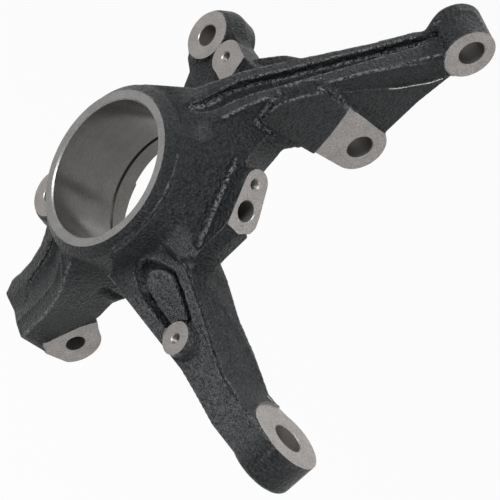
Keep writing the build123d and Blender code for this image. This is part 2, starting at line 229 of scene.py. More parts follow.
def tinted(colour: tuple[float, float, float], share: float) -> tuple[float, ...]:
    """A darker or lighter tone of a colour."""
    return tuple(c * share for c in colour)


def read_points(mesh: bpy.types.Mesh, name: str) -> np.ndarray:
    """Read a vector of every vertex.

    Args:
        mesh: The mesh.
        name: co or normal.

    Returns:
        One row for each vertex.
    """
    flat = np.empty(len(mesh.vertices) * 3, np.float32)
    mesh.vertices.foreach_get(name, flat)
    return flat.reshape(-1, 3).astype(float)


def write_points(mesh: bpy.types.Mesh, points: np.ndarray) -> None:
    """Move every vertex.

    Args:
        mesh: The mesh.
        points: One row for each vertex, in metres.
    """
    mesh.vertices.foreach_set("co", points.astype(np.float32).ravel())
    mesh.update()


def edge_ends(mesh: bpy.types.Mesh) -> tuple[np.ndarray, np.ndarray]:
    """Read which vertices each edge joins.

    Args:
        mesh: The mesh.

    Returns:
        The first and the second vertex of every edge.
    """
    ends = np.empty(len(mesh.edges) * 2, np.int32)
    mesh.edges.foreach_get("vertices", ends)
    first, second = ends.reshape(-1, 2).T
    return first, second


def ramp(values: np.ndarray, span: tuple[float, float]) -> np.ndarray:
    """A rise from 0 at the span's start to 1 at its end."""
    return np.clip((values - span[0]) / (span[1] - span[0]), 0, 1)


def frame_of(axis: Vector) -> Matrix:
    """A rotation that turns +Z onto an axis."""
    return axis.to_track_quat("Z", "Y").to_matrix()


def prism(outline: list[tuple[float, float]], base: Vector, turn: Matrix, height: float,
          slot: int = Cut.SKIN) -> bpy.types.Mesh:
    """A straight prism on an outline.

    Args:
        outline: Points of the base, in metres, in the prism's own plane.
        base: Origin of that plane.
        turn: Rotation of the plane.
        height: Height along the plane's normal, in metres.
        slot: Material index of every face.

    Returns:
        A closed mesh with outward faces.
    """
    mesh = bpy.data.meshes.new("prism")
    bm = bmesh.new()
    low = [bm.verts.new(base + turn @ Vector((x, y, 0))) for x, y in outline]
    high = [bm.verts.new(base + turn @ Vector((x, y, height))) for x, y in outline]
    bm.faces.new(low)
    bm.faces.new(high)
    for i in range(len(low)):
        j = (i + 1) % len(low)
        bm.faces.new((low[i], low[j], high[j], high[i]))
    for face in bm.faces:
        face.material_index = slot
    bmesh.ops.recalc_face_normals(bm, faces=bm.faces)
    bm.to_mesh(mesh)
    bm.free()
    return mesh


def ring_points(radius: float, count: int) -> list[tuple[float, float]]:
    """Points on a circle, in the units of the radius."""
    return [(radius * math.cos(2 * math.pi * i / count), radius * math.sin(2 * math.pi * i / count))
            for i in range(count)]


def turned(profile: list[tuple[float, float]], base: Vector, turn: Matrix, count: int,
           slots: list[int]) -> bpy.types.Mesh:
    """A body of revolution.

    Args:
        profile: (radius, height) points in metres, from axis to axis.
        base: Where height 0 lies on the axis.
        turn: Rotation that turns +Z onto the axis.
        count: Number of steps round the axis.
        slots: Material index of each band between two profile points.

    Returns:
        A closed mesh with outward faces.
    """
    mesh = bpy.data.meshes.new("turned")
    bm = bmesh.new()
    rows: list[list[bmesh.types.BMVert]] = []
    for radius, height in profile:
        if radius <= 0:
            rows.append([bm.verts.new(base + turn @ Vector((0, 0, height)))])
        else:
            circle = ring_points(radius, count)
            rows.append([bm.verts.new(base + turn @ Vector((x, y, height))) for x, y in circle])
    for band, (a, b) in enumerate(zip(rows, rows[1:])):
        for i in range(count):
            j = (i + 1) % count
            quad = [a[i % len(a)], a[j % len(a)], b[j % len(b)], b[i % len(b)]]
            face = bm.faces.new(list(dict.fromkeys(quad)))
            face.material_index = slots[band]
    bmesh.ops.recalc_face_normals(bm, faces=bm.faces)
    bm.to_mesh(mesh)
    bm.free()
    return mesh


def joined(name: str, meshes: list[bpy.types.Mesh]) -> bpy.types.Object:
    """Gather several loose shells into one object.

    Args:
        name: Name of the object.
        meshes: The shells, which are used up.

    Returns:
        The new object.
    """
    bm = bmesh.new()
    for mesh in meshes:
        bm.from_mesh(mesh)
        bpy.data.meshes.remove(mesh)
    whole = bpy.data.meshes.new(name)
    bm.to_mesh(whole)
    bm.free()
    return link(name, whole)


def grain_group() -> bpy.types.NodeTree:
    """Build the shared grain: noise of two sizes, as a mask and as a height.

    Returns:
        A group with the inputs Vector, Coarse, Fine, Detail and Balance.
    """
    tree = bpy.data.node_groups.new("fine_grain", "ShaderNodeTree")
    face = tree.interface
    face.new_socket("Vector", in_out="INPUT", socket_type="NodeSocketVector")
    for name, value in (("Coarse", 200.0), ("Fine", 900.0), ("Detail", 6.0), ("Balance", 0.5)):
        face.new_socket(name, in_out="INPUT", socket_type="NodeSocketFloat").default_value = value
    face.new_socket("Mask", in_out="OUTPUT", socket_type="NodeSocketFloat")
    face.new_socket("Height", in_out="OUTPUT", socket_type="NodeSocketFloat")
    nodes, links = tree.nodes, tree.links
    gin, gout = nodes.new("NodeGroupInput"), nodes.new("NodeGroupOutput")
    coarse, fine = nodes.new("ShaderNodeTexNoise"), nodes.new("ShaderNodeTexNoise")
    for noise, rate in ((coarse, "Coarse"), (fine, "Fine")):
        links.new(gin.outputs["Vector"], noise.inputs["Vector"])
        links.new(gin.outputs[rate], noise.inputs["Scale"])
        links.new(gin.outputs["Detail"], noise.inputs["Detail"])
    mix = nodes.new("ShaderNodeMix")
    links.new(gin.outputs["Balance"], mix.inputs["Factor"])
    links.new(coarse.outputs["Fac"], mix.inputs["A"])
    links.new(fine.outputs["Fac"], mix.inputs["B"])
    links.new(mix.outputs[0], gout.inputs["Height"])
    stretch = nodes.new("ShaderNodeMapRange")
    for end, value in zip(("From Min", "From Max"), NOISE_SPAN):
        stretch.inputs[end].default_value = value
    links.new(mix.outputs[0], stretch.inputs["Value"])
    links.new(stretch.outputs["Result"], gout.inputs["Mask"])
    return tree


class Paintwork:
    """Builds the materials of the knuckle and of the stage."""

    def __init__(self) -> None:
        """Build the shared node group."""
        self.grain = grain_group()

    def _start(self, name: str) -> tuple[bpy.types.Material, bpy.types.ShaderNodeTree, bpy.types.Node]:
        """Begin a material.

        Args:
            name: Name of the material.

        Returns:
            The material, its tree and its Principled shader.
        """
        mat = bpy.data.materials.new(name)
        mat.use_nodes = True
        return mat, mat.node_tree, mat.node_tree.nodes["Principled BSDF"]

    def _grained(self, tree: bpy.types.ShaderNodeTree, coarse: float, fine: float, detail: float,
                 balance: float = 0.5, vector: bpy.types.NodeSocket | None = None) -> bpy.types.Node:
        """Place the grain group.

        Args:
            tree: The material's tree.
            coarse: Scale of the coarse noise.
            fine: Scale of the fine noise.
            detail: Octaves of both.
            balance: Share of the fine noise.
            vector: What the noise follows, or None for Object coordinates.

        Returns:
            The group node.
        """
        node = tree.nodes.new("ShaderNodeGroup")
        node.node_tree = self.grain
        node.inputs["Coarse"].default_value = coarse
        node.inputs["Fine"].default_value = fine
        node.inputs["Detail"].default_value = detail
        node.inputs["Balance"].default_value = balance
        if vector is None:
            vector = tree.nodes.new("ShaderNodeTexCoord").outputs["Object"]
        tree.links.new(vector, node.inputs["Vector"])
        return node

    def _mix(self, tree: bpy.types.ShaderNodeTree, factor: bpy.types.NodeSocket,
             a: tuple[float, ...] | bpy.types.NodeSocket,
             b: tuple[float, ...] | bpy.types.NodeSocket) -> bpy.types.NodeSocket:
        """Mix two colours.

        Args:
            tree: The material's tree.
            factor: Share of b.
            a: First colour or socket.
            b: Second colour or socket.

        Returns:
            The mixed colour.
        """
        node = tree.nodes.new("ShaderNodeMix")
        node.data_type = "RGBA"
        tree.links.new(factor, node.inputs[0])
        for value, socket in ((a, node.inputs[6]), (b, node.inputs[7])):
            if isinstance(value, bpy.types.NodeSocket):
                tree.links.new(value, socket)
            else:
                socket.default_value = (*value[:3], 1.0)
        return node.outputs[2]

    def _range(self, tree: bpy.types.ShaderNodeTree, value: bpy.types.NodeSocket,
               span: tuple[float, float], to: tuple[float, float]) -> bpy.types.NodeSocket:
        """Map a value from one span to another, and hold it at the ends.

        Args:
            tree: The material's tree.
            value: The value.
            span: Where it comes from.
            to: Where it goes.

        Returns:
            The mapped value.
        """
        node = tree.nodes.new("ShaderNodeMapRange")
        node.inputs["From Min"].default_value, node.inputs["From Max"].default_value = span
        node.inputs["To Min"].default_value, node.inputs["To Max"].default_value = to
        tree.links.new(value, node.inputs["Value"])
        return node.outputs["Result"]

    def _math(self, tree: bpy.types.ShaderNodeTree, kind: str,
              *values: float | bpy.types.NodeSocket) -> bpy.types.NodeSocket:
        """Work out one step of arithmetic.

        Args:
            tree: The material's tree.
            kind: The math node's operation.
            *values: Numbers or sockets.

        Returns:
            The result.
        """
        node = tree.nodes.new("ShaderNodeMath")
        node.operation = kind
        for i, value in enumerate(values):
            if isinstance(value, bpy.types.NodeSocket):
                tree.links.new(value, node.inputs[i])
            else:
                node.inputs[i].default_value = value
        return node.outputs[0]

    def cast(self, finish: CastFinish) -> bpy.types.Material:
        """Dress the painted cast skin: fine grain, light specks (wear and painted highlight), sandy spots
        (sand and painted highlight).

        Args:
            finish: The paint.

        Returns:
            The material. It reads the attributes hollow, edge and coarse.
        """
        mat, tree, shader = self._start(finish.name)
        skin = self._grained(tree, scale(finish.swell_mm), scale(finish.pit_mm), 3.0, 0.8)
        specks = self._grained(tree, *map(scale, finish.speck_mm), 2.0, 0.6)
        sand = self._grained(tree, *map(scale, finish.sand_mm), 2.0, 0.7)
        marks = {}
        for name in SKIN_MARKS:
            node = tree.nodes.new("ShaderNodeAttribute")
            node.attribute_name = name
            marks[name] = node.outputs["Fac"]
        dark, light = (tinted(finish.colour, share) for share in finish.spread)
        base = self._mix(tree, skin.outputs["Mask"], dark, light)
        # Light specks in hollows and on edges: partly worn paint, partly painted highlight where fillets and
        # edges catch the light.
        speck_mask = self._range(tree, specks.outputs["Height"], finish.speck_span, (0.0, 1.0))
        edge = self._math(tree, "MULTIPLY", marks["edge"], finish.edge_share)
        place = self._math(tree, "MAXIMUM", marks["hollow"], edge)
        placed = self._math(tree, "MULTIPLY", speck_mask, place)
        amount = self._math(tree, "MULTIPLY", placed, finish.speck_share)
        base = self._mix(tree, amount, base, finish.wear_and_highlight)
        # Lighter sand grit where the coarse mark is set: real sand on the steering arm's face, painted
        # highlight in the patches.
        grit = self._math(tree, "MULTIPLY", sand.outputs["Mask"], marks["coarse"])
        grit = self._math(tree, "MULTIPLY", grit, finish.grit_share)
        base = self._mix(tree, grit, base, tinted(finish.wear_and_highlight, finish.grit_tone))
        tree.links.new(base, shader.inputs["Base Color"])
        ends = (finish.roughness + finish.gloss_swing, finish.roughness - finish.gloss_swing)
        gloss = self._range(tree, skin.outputs["Mask"], (0.0, 1.0), ends)
        tree.links.new(gloss, shader.inputs["Roughness"])
        shader.inputs["Specular IOR Level"].default_value = finish.specular
        bump = tree.nodes.new("ShaderNodeBump")
        bump.inputs["Strength"].default_value = 1.0
        bump.inputs["Distance"].default_value = finish.relief_mm * MM
        rise = self._math(tree, "MULTIPLY", sand.outputs["Height"], marks["coarse"])
        tree.links.new(self._math(tree, "ADD", skin.outputs["Height"], rise), bump.inputs["Height"])
        tree.links.new(bump.outputs["Normal"], shader.inputs["Normal"])
        return mat

    def _tool_vector(self, tree: bpy.types.ShaderNodeTree, tool: Tool, marks: float) -> bpy.types.NodeSocket:
        """Lay out the coordinates that the tool marks follow.

        Args:
            tree: The material's tree.
            tool: The tool.
            marks: Width of a mark in metres.

        Returns:
            A vector that runs by 1 from mark to mark.
        """
        coord = tree.nodes.new("ShaderNodeTexCoord").outputs["Object"]
        split = tree.nodes.new("ShaderNodeSeparateXYZ")
        tree.links.new(coord, split.inputs[0])
        join = tree.nodes.new("ShaderNodeCombineXYZ")
        if tool is Tool.TURNED:
            squares = [self._math(tree, "POWER", split.outputs[k], 2.0) for k in (0, 2)]
            radius = self._math(tree, "SQRT", self._math(tree, "ADD", *squares))
            tree.links.new(self._math(tree, "MULTIPLY", radius, 1 / marks), join.inputs[0])
        elif tool is Tool.BORED:
            for k, (axis, rate) in enumerate(((1, 1 / marks), (2, ROUND_RATE), (0, ROUND_RATE))):
                tree.links.new(self._math(tree, "MULTIPLY", split.outputs[axis], rate), join.inputs[k])
        else:
            for k in range(3):
                tree.links.new(self._math(tree, "MULTIPLY", split.outputs[k], 1 / marks), join.inputs[k])
        return join.outputs[0]

    def metal(self, finish: MetalFinish) -> bpy.types.Material:
        """Dress bare iron with the marks of its tool.

        Args:
            finish: The metal.

        Returns:
            The material.
        """
        mat, tree, shader = self._start(finish.name)
        along = self._tool_vector(tree, finish.tool, finish.marks_mm * MM)
        marks = self._grained(tree, 1.0, 2.7, 3.0, 0.5, along)
        cloud = self._grained(tree, *map(scale, finish.cloud_mm), 3.0, 0.78)
        low, high = (tinted(finish.colour, 1 + way * finish.grain) for way in (-1, 1))
        base = self._mix(tree, cloud.outputs["Mask"], low, high)
        shade = self._math(tree, "MULTIPLY", marks.outputs["Mask"], finish.grain)
        base = self._mix(tree, shade, base, tinted(finish.colour, finish.mark_shade))
        tree.links.new(base, shader.inputs["Base Color"])
        shader.inputs["Metallic"].default_value = finish.metallic
        ends = (finish.roughness - finish.gloss_swing, finish.roughness + finish.gloss_swing)
        gloss = self._range(tree, marks.outputs["Mask"], (0.0, 1.0), ends)
        tree.links.new(gloss, shader.inputs["Roughness"])
        bump = tree.nodes.new("ShaderNodeBump")
        bump.inputs["Strength"].default_value = 0.6
        bump.inputs["Distance"].default_value = finish.relief_mm * MM
        tree.links.new(marks.outputs["Height"], bump.inputs["Height"])
        tree.links.new(bump.outputs["Normal"], shader.inputs["Normal"])
        return mat

    def floor(self) -> bpy.types.Material:
        """Dress the floor, which the camera sees as a white ground with a faint shadow.

        Returns:
            The material.
        """
        mat, tree, shader = self._start("pale_floor")
        shader.inputs["Base Color"].default_value = PALE
        shader.inputs["Roughness"].default_value = 0.9
        glow = tree.nodes.new("ShaderNodeEmission")
        glow.inputs["Strength"].default_value = 1.0
        path = tree.nodes.new("ShaderNodeLightPath")
        seen = self._math(tree, "MAXIMUM", path.outputs["Is Camera Ray"], path.outputs["Is Glossy Ray"])
        seen = self._math(tree, "MAXIMUM", seen, path.outputs["Is Transmission Ray"])
        mix = tree.nodes.new("ShaderNodeMixShader")
        tree.links.new(self._math(tree, "MULTIPLY", seen, FLOOR_GLOW), mix.inputs[0])
        tree.links.new(shader.outputs[0], mix.inputs[1])
        tree.links.new(glow.outputs[0], mix.inputs[2])
        tree.links.new(mix.outputs[0], tree.nodes["Material Output"].inputs["Surface"])
        return mat


@dataclass
class Pad:
    """A flat that is milled into the casting.

    Args:
        centre: A point on the flat, in millimetres.
        normal: The way the flat faces.
        reach: Radius of the cutter, in millimetres, if it is round.
        outline: Outline of the cutter on the flat, in millimetres, if it isn't round.
        stock: How far the casting stood proud before it was cut.
        slot: Material index of the flat.
        boss: Outline of the extra metal, where the flat shares its plane with cast skin.
        height: Height of the cutter.
        steps: Number of steps round a round cutter.
    """

    centre: tuple[float, float, float]
    normal: tuple[float, float, float]
    reach: float = 0.0
    outline: list[tuple[float, float]] = field(default_factory=list)
    stock: float = STOCK
    slot: int = Cut.MILLED
    boss: list[tuple[float, float]] = field(default_factory=list)
    height: float = 9.0
    steps: int = 72

    def turn(self) -> Matrix:
        """Turn the flat's own plane into place.

        Returns:
            A rotation whose z is the normal and whose x is level, unless the flat itself is.
        """
        n = Vector(self.normal).normalized()
        if abs(n.z) > LEVEL:
            return frame_of(n)
        side = Vector((0, 0, 1)).cross(n).normalized()
        return Matrix((side, n.cross(side), n)).transposed()

    def cutter(self) -> bpy.types.Mesh:
        """The block that the miller takes off."""
        points = metres(self.outline) or ring_points(self.reach * MM, self.steps)
        return prism(points, vec(*self.centre), self.turn(), self.height * MM, self.slot)


@dataclass
class Hole:
    """A round hole.

    Args:
        mouth: Centre of the mouth, in millimetres.
        axis: The way from the hole out of its mouth.
        radius: Radius in millimetres.
        depth: Depth in millimetres.
        bevel: Width of the chamfer at the mouth.
        far_bevel: Width of the chamfer at the far end.
        thread: Pitch of the thread, or 0.
        slot: Material index of the wall.
        cone: Depth of the drill point, or 0 for a through hole.
        steps: Number of steps round the axis.
        past: How far the cutter runs past the mouth.
    """

    mouth: tuple[float, float, float]
    axis: tuple[float, float, float]
    radius: float
    depth: float
    bevel: float = 0.5
    far_bevel: float = 0.5
    thread: float = 0.0
    slot: int = Cut.DRILLED
    cone: float = 0.0
    steps: int = 64
    past: float = 3.0

    def cutter(self) -> bpy.types.Mesh:
        """Make the drilled volume, from past the mouth to the bottom.

        Returns:
            A closed mesh, with a milled chamfer and a drilled wall.
        """
        r, past = self.radius, self.past
        rows = [(0.0, past), (r + self.bevel + past, past), (r, -self.bevel)]
        if self.thread:
            rows += self._thread_rows()
        if self.cone:
            rows += [(r, -self.depth), (0.0, -self.depth - self.cone)]
        else:
            rows += [(r, self.far_bevel - self.depth), (r + self.far_bevel + past, -self.depth - past),
                     (0.0, -self.depth - past)]
        slots = [self.slot] * (len(rows) - 1)
        slots[1] = Cut.MILLED
        axis = Vector(self.axis).normalized()
        return turned(metres(rows), vec(*self.mouth), frame_of(axis), self.steps, slots)

    def _thread_rows(self) -> list[tuple[float, float]]:
        """Draw the thread's grooves down the wall.

        Returns:
            Points as radius and height, one groove to each pitch.
        """
        lead_in, run_out, flank = 0.3, 1.5, 0.45
        rows = []
        pitch, height, half = self.thread, self.thread * flank, self.thread * flank
        z = -self.bevel - pitch * lead_in
        while z > -self.depth + pitch * run_out:
            rows += [(self.radius, z), (self.radius + height, z - half), (self.radius, z - 2 * half)]
            z -= pitch
        return rows


@dataclass(frozen=True)
class Fillet:
    """A generous inner corner of the pattern.

    Args:
        centre: Its middle, in millimetres.
        reach: How far from the middle it fades out, in millimetres.
        rounds: Rounds of filling that it gets on top of the rest.
        melts: Whether the ridges that meet there fade out too.
    """

    centre: tuple[float, float, float]
    reach: float
    rounds: int
    melts: bool = False


@dataclass(frozen=True)
class SandHighlightPatch:
    """A painted highlight: a spot whose skin gets lighter sand grit and a coarser sand bump.

    Args:
        centre: Its middle, in millimetres.
        reach: How far from the middle it fades out, in millimetres.
        strength: How coarse and how strongly lightened it is, where the face of the steering arm is 1.
    """

    centre: tuple[float, float, float]
    reach: float
    strength: float


@dataclass(frozen=True)
class Seam:
    """A parting line or a crease of the skin.

    Args:
        path: Points along it, in millimetres.
        width: Half width in millimetres.
        rise: How far it stands proud in millimetres, or below 0 for a crease.
    """

    path: tuple[tuple[float, float, float], ...]
    width: float
    rise: float


SEAMS = (
    # Flank: parting line, and the line below the strut's plate
    Seam(((16, 53, 73.2), (26, 45.3, 67.7), (36.4, 38.6, 62.2)), 0.9, 0.5),
    Seam(((16.2, 54, 73.9), (16.2, 61, 74.1), (16.2, 76, 74.4)), 0.6, 0.6),
    # Strut: lower edge of the rail, from the hub to the upper boss
    Seam(((17.1, 21.2, 68.7), (15.8, 24.5, 75), (14.5, 29, 81.5), (14.2, 33.3, 86.3), (13.6, 40.5, 94)),
         0.8, 0.7),
    Seam(((13.8, 57.1, 113.2), (13, 64, 119.6), (12.8, 73.6, 130.5), (13, 88.5, 144.3), (13, 106.5, 159.7)),
         0.8, 0.7),
    # Strut: upper edge of the bolt plate
    Seam(((17, 41.5, 85.7), (16.2, 42.3, 90.1), (16.2, 44.2, 93.7), (16.8, 46.7, 97.3), (17, 50.1, 101.8),
          (17, 53.7, 105.4), (17, 57.8, 108.6)), 0.8, 0.7),
    # Strut: the plate's left step, the notch below it and the crevice at its right end
    Seam(((13, 40.2, 94.5), (13.8, 39, 89.4), (14.5, 39.2, 84.7), (15.3, 39.6, 80.1), (15.9, 40.2, 76.2)),
         2.2, -1.6),
    Seam(((16.1, 40.5, 74.9), (16.2, 46.1, 73.9), (16.2, 52.9, 73.7)), 1.5, -2.2),
    Seam(((15, 55.5, 110.2), (16.6, 60.5, 111), (16.4, 67.3, 110.6), (13.8, 73, 111.4)), 1.2, -1.6),
    Seam(((14.2, 76.9, 110.6), (15.2, 78.6, 110.1), (16.2, 80.4, 109.6)), 1.2, -1.4),
    # Strut: web flash, and the crease on the upper boss
    Seam(((14.9, 66.6, 111.7), (13, 75.8, 116.9), (13, 82.6, 122.5), (13, 97.5, 132.4), (13, 113.1, 146.3),
          (13, 118.4, 155)), 0.8, 0.6),
    Seam(((-6.1, 107.8, 184.2), (-3.9, 114.4, 187.7), (4.1, 116.7, 187.4)), 0.7, 0.6),
    Seam(((-8, 102.6, 168.5), (-5.5, 102.5, 172.5)), 0.8, -1.0),
    # Steering arm: the sharp crease beside its outboard edge, that edge, and the ridge on its top
    Seam(((56.8, 27.4, 7.1), (67.2, 33.6, 3.3), (78.1, 40.2, -1.2), (91.4, 48.2, -7.4), (102.7, 55, -13.1),
          (110.4, 59.6, -17.2), (119.3, 64.9, -19.6), (127.1, 69.6, -20)), 0.8, -1.1),
    Seam(((56.4, 26.2, 6.6), (66.8, 32.4, 2.8), (77.7, 39, -1.7), (91, 47, -7.9), (102.3, 53.8, -13.6),
          (110, 58.4, -17.7), (118.9, 63.7, -20.1)), 0.8, 0.5),
    Seam(((72.7, 45, 4.7), (85.8, 63, -0.3), (97.2, 78.9, -6.9), (109, 93, -13)), 1.3, 0.6),
    # Leg: its two ridges, the side of its channel and the crack at its foot
    Seam(((12.7, 11.4, -53.7), (18.5, 11.4, -54.6), (26.4, 13.6, -59.8), (31, 17.2, -68.2), (26.5, 22.2, -82),
          (18.5, 30.2, -102), (14, 34.1, -112)), 1.0, 0.7),
    Seam(((15.4, 13.1, -58.5), (19.8, 16, -66), (14.4, 22.7, -82.6), (7.1, 29.4, -99.8), (1.4, 34.7, -113.6)),
         0.9, 0.7),
    Seam(((-1.8, 13.8, -58.5), (-1.3, 17.6, -65.5), (-2.3, 20.1, -74.1), (-4.7, 23.3, -83),
          (-6.2, 26.2, -90.2)), 1.3, -1.6),
    Seam(((-6.6, 28.7, -94.7), (-3.5, 29.5, -98), (-2, 31.1, -101)), 0.6, -1.1),
    # Steering arm: the wide side of the ring round the pocket's island
    Seam(((46, 26, -18.6), (49.7, 27.6, -22.5), (56.1, 31, -25.6), (63, 33.8, -26.6)), 3.6, -0.8),
    # Hub: the foot of the collar, and the foot of the sensor boss
    Seam(((29.3, 5.3, 41.5), (36.9, 5.3, 34.9), (43.5, 4.9, 25.4), (46.8, 4.5, 17.3), (48.3, 4.2, 10.7),
          (48.9, 3.7, -2.6), (46.4, 3.7, -15.9)), 1.5, -1.2),
    Seam(((34, 32.6, 58), (44.3, 29.7, 47.7), (49.8, 29.3, 39.3), (58, 28.9, 28.2), (64, 28.9, 18.5)),
         1.8, -1.6),
    # Strut: the wide start of the groove, and the fan-shaped fillet below it
    Seam(((-0.4, 14.8, 56.8), (0.6, 17.2, 60), (0.2, 20.4, 63.6), (-2, 24.5, 69)), 2.4, -2.2),
    Seam(((25.9, 7.8, 46.4), (23.3, 12.6, 52.4), (20.2, 18.9, 61.6)), 2.6, -0.9),
    # The dark hollow below the arm's root
    Seam(((25, 43.2, -56.3), (24.2, 50.5, -57), (23.8, 54.2, -57.4)), 2.8, -4.0),
)


@dataclass
class CastBody:
    """The casting: a softened copy of the CAD solid, then machined.

    Args:
        voxel: Cell size of the remesh, in millimetres.
        settling: Rounds of smoothing before the inner corners are filled.
        fill_rounds: Rounds of filling of every inner corner.
        fill_gain: Share of the gap that one round fills.
        refresh: Rounds of filling between two looks at the normals.
        softening: Rounds of smoothing at the end.
        keep: Share of faces that are kept after the remesh.
        sharp_deg: Angle above which an edge stays sharp.
        fillets: Corners that are filled further.
        seams: Parting lines and creases.
        sand_and_highlight_patches: Spots of painted highlight with coarser sand, besides the face of the
            steering arm.
        blur: Rounds of blurring of the measured bend.
        hollow_bend: Bends, per metre, where the mark of a hollow starts and is full.
        edge_bend: Bends, per metre, where the mark of an edge starts and is full.
        sandy_slope: Turn of the steering arm's sandy face about Z, in degrees.
        sandy_facing: How squarely a face looks that way where the sand starts and is full.
        sandy_start: Places along X, in millimetres, where the sand starts and is full.
        sandy_end: Places along X, in millimetres, where the sand is full for the last time and ends.
    """

    voxel: float = 0.55
    settling: int = 5
    fill_rounds: int = 12
    fill_gain: float = 0.8
    refresh: int = 5
    softening: int = 7
    keep: float = 0.15
    sharp_deg: float = 38.0
    fillets: tuple[Fillet, ...] = (
        Fillet((22.0, 12.0, 51.0), 15.0, 70, melts=True),
        Fillet((30.0, 5.0, 40.0), 11.0, 30, melts=True),
        Fillet((19.5, 17.0, 60.0), 9.0, 40, melts=True),
        Fillet((58.0, 30.0, -22.0), 24.0, 22),
        Fillet((70.0, 36.0, -4.0), 20.0, 70),
        Fillet((63.0, 29.0, 6.0), 13.0, 40, melts=True),
        Fillet((-7.0, 102.5, 166.0), 10.0, 60, melts=True),
    )
    seams: tuple[Seam, ...] = SEAMS
    # Painted highlights with a coarser sand bump: the collar corner, the hub's top edge, the shaded island in
    # the pocket and the arm's top.
    sand_and_highlight_patches: tuple[SandHighlightPatch, ...] = (
        SandHighlightPatch((20.5, 13.5, 56.5), 6.5, 0.45),
        SandHighlightPatch((-12.0, 15.0, 60.0), 11.0, 0.4),
        SandHighlightPatch((57.0, 30.5, -14.0), 13.5, 1.5),
        SandHighlightPatch((100.0, 66.0, -9.0), 40.0, 0.2),
    )
    blur: int = 4
    hollow_bend: tuple[float, float] = (60.0, 260.0)
    edge_bend: tuple[float, float] = (90.0, 310.0)
    sandy_slope: float = 31.0
    sandy_facing: tuple[float, float] = (0.86, 0.94)
    sandy_start: tuple[float, float] = (45.0, 65.0)
    sandy_end: tuple[float, float] = (140.0, 152.0)

    def _stock(self, source: bpy.types.Mesh, pad: Pad) -> bpy.types.Mesh | None:
        """Extra metal on a flat, as its faces in the CAD mesh pushed outward.

        Args:
            source: The merged CAD mesh.
            pad: The flat.

        Returns:
            A closed mesh, or None if the flat has no face of its own.
        """
        n = Vector(pad.normal).normalized()
        centre = vec(*pad.centre)
        boss_root, root, flat, near, widest = 3.0, 1.5, 0.995, 0.08 * MM, 45.0
        if pad.boss:
            base = centre - n * boss_root * MM
            return prism(metres(pad.boss), base, pad.turn(), (boss_root + pad.stock) * MM)
        far = (pad.reach or widest) * MM
        bm = bmesh.new()
        bm.from_mesh(source)
        lost = [f for f in bm.faces
                if f.normal.dot(n) < flat or abs((f.calc_center_median() - centre).dot(n)) > near
                or (f.calc_center_median() - centre).length > far]
        bmesh.ops.delete(bm, geom=lost, context="FACES")
        if not bm.faces:
            bm.free()
            return None
        for v in bm.verts:
            v.co -= n * root * MM
        made = bmesh.ops.extrude_face_region(bm, geom=list(bm.faces), use_keep_orig=True)
        for v in (g for g in made["geom"] if isinstance(g, bmesh.types.BMVert)):
            v.co += n * (pad.stock + root) * MM
        bmesh.ops.recalc_face_normals(bm, faces=bm.faces)
        mesh = bpy.data.meshes.new("stock")
        bm.to_mesh(mesh)
        bm.free()
        return mesh

    def rough(self, node: bpy.types.Object, pads: list[Pad], plugs: list[bpy.types.Mesh]) -> bpy.types.Object:
        """The unmachined casting.

        Args:
            node: The CAD node.
            pads: Flats that get machining stock.
            plugs: Cylinders that fill the holes.

        Returns:
            One closed object with soft edges and filleted corners.
        """
        bm = bmesh.new()
        bm.from_mesh(node.data)
        bmesh.ops.remove_doubles(bm, verts=bm.verts, dist=MERGE)
        merged = bpy.data.meshes.new("merged")
        bm.to_mesh(merged)
        bm.free()
        shells = [m for m in (self._stock(merged, p) for p in pads) if m]
        body = joined(NODE + "_skin", [merged, *shells, *plugs])
        body.data.materials.clear()
        remesh = body.modifiers.new("remesh", "REMESH")
        remesh.mode = "VOXEL"
        remesh.voxel_size = self.voxel * MM
        baked(body)
        self._soften(body, self.settling)
        self.fill_hollows(body.data)
        self._soften(body, self.softening)
        self.carve_seams(body.data)
        return body

    def _soften(self, body: bpy.types.Object, rounds: int) -> None:
        """Smooth the whole casting.

        Args:
            body: The casting, which is changed.
            rounds: Rounds of smoothing.
        """
        smooth = body.modifiers.new("smooth", "SMOOTH")
        smooth.factor = 0.5
        smooth.iterations = rounds
        baked(body)

    def carve_seams(self, mesh: bpy.types.Mesh) -> None:
        """Raise the parting lines and sink the creases.

        Args:
            mesh: The softened casting, which is changed.
        """
        p, n = read_points(mesh, "co"), read_points(mesh, "normal")
        reach, nowhere = 4 * MM, 1.0
        for seam in self.seams:
            path = np.array(seam.path, float) * MM
            near = np.flatnonzero(((p > path.min(0) - reach) & (p < path.max(0) + reach)).all(1))
            best = np.full(len(near), nowhere)
            for a, b in zip(path, path[1:]):
                run = b - a
                t = np.clip((p[near] - a) @ run / (run @ run), 0, 1)
                gap = p[near] - a - t[:, None] * run
                up = (gap * n[near]).sum(1)
                side = np.linalg.norm(gap - up[:, None] * n[near], axis=1)
                best = np.minimum(best, np.where(np.abs(up) < reach, side, nowhere))
            p[near] += n[near] * (seam.rise * MM * np.exp(-(best / (seam.width * MM)) ** 2))[:, None]
        write_points(mesh, p)

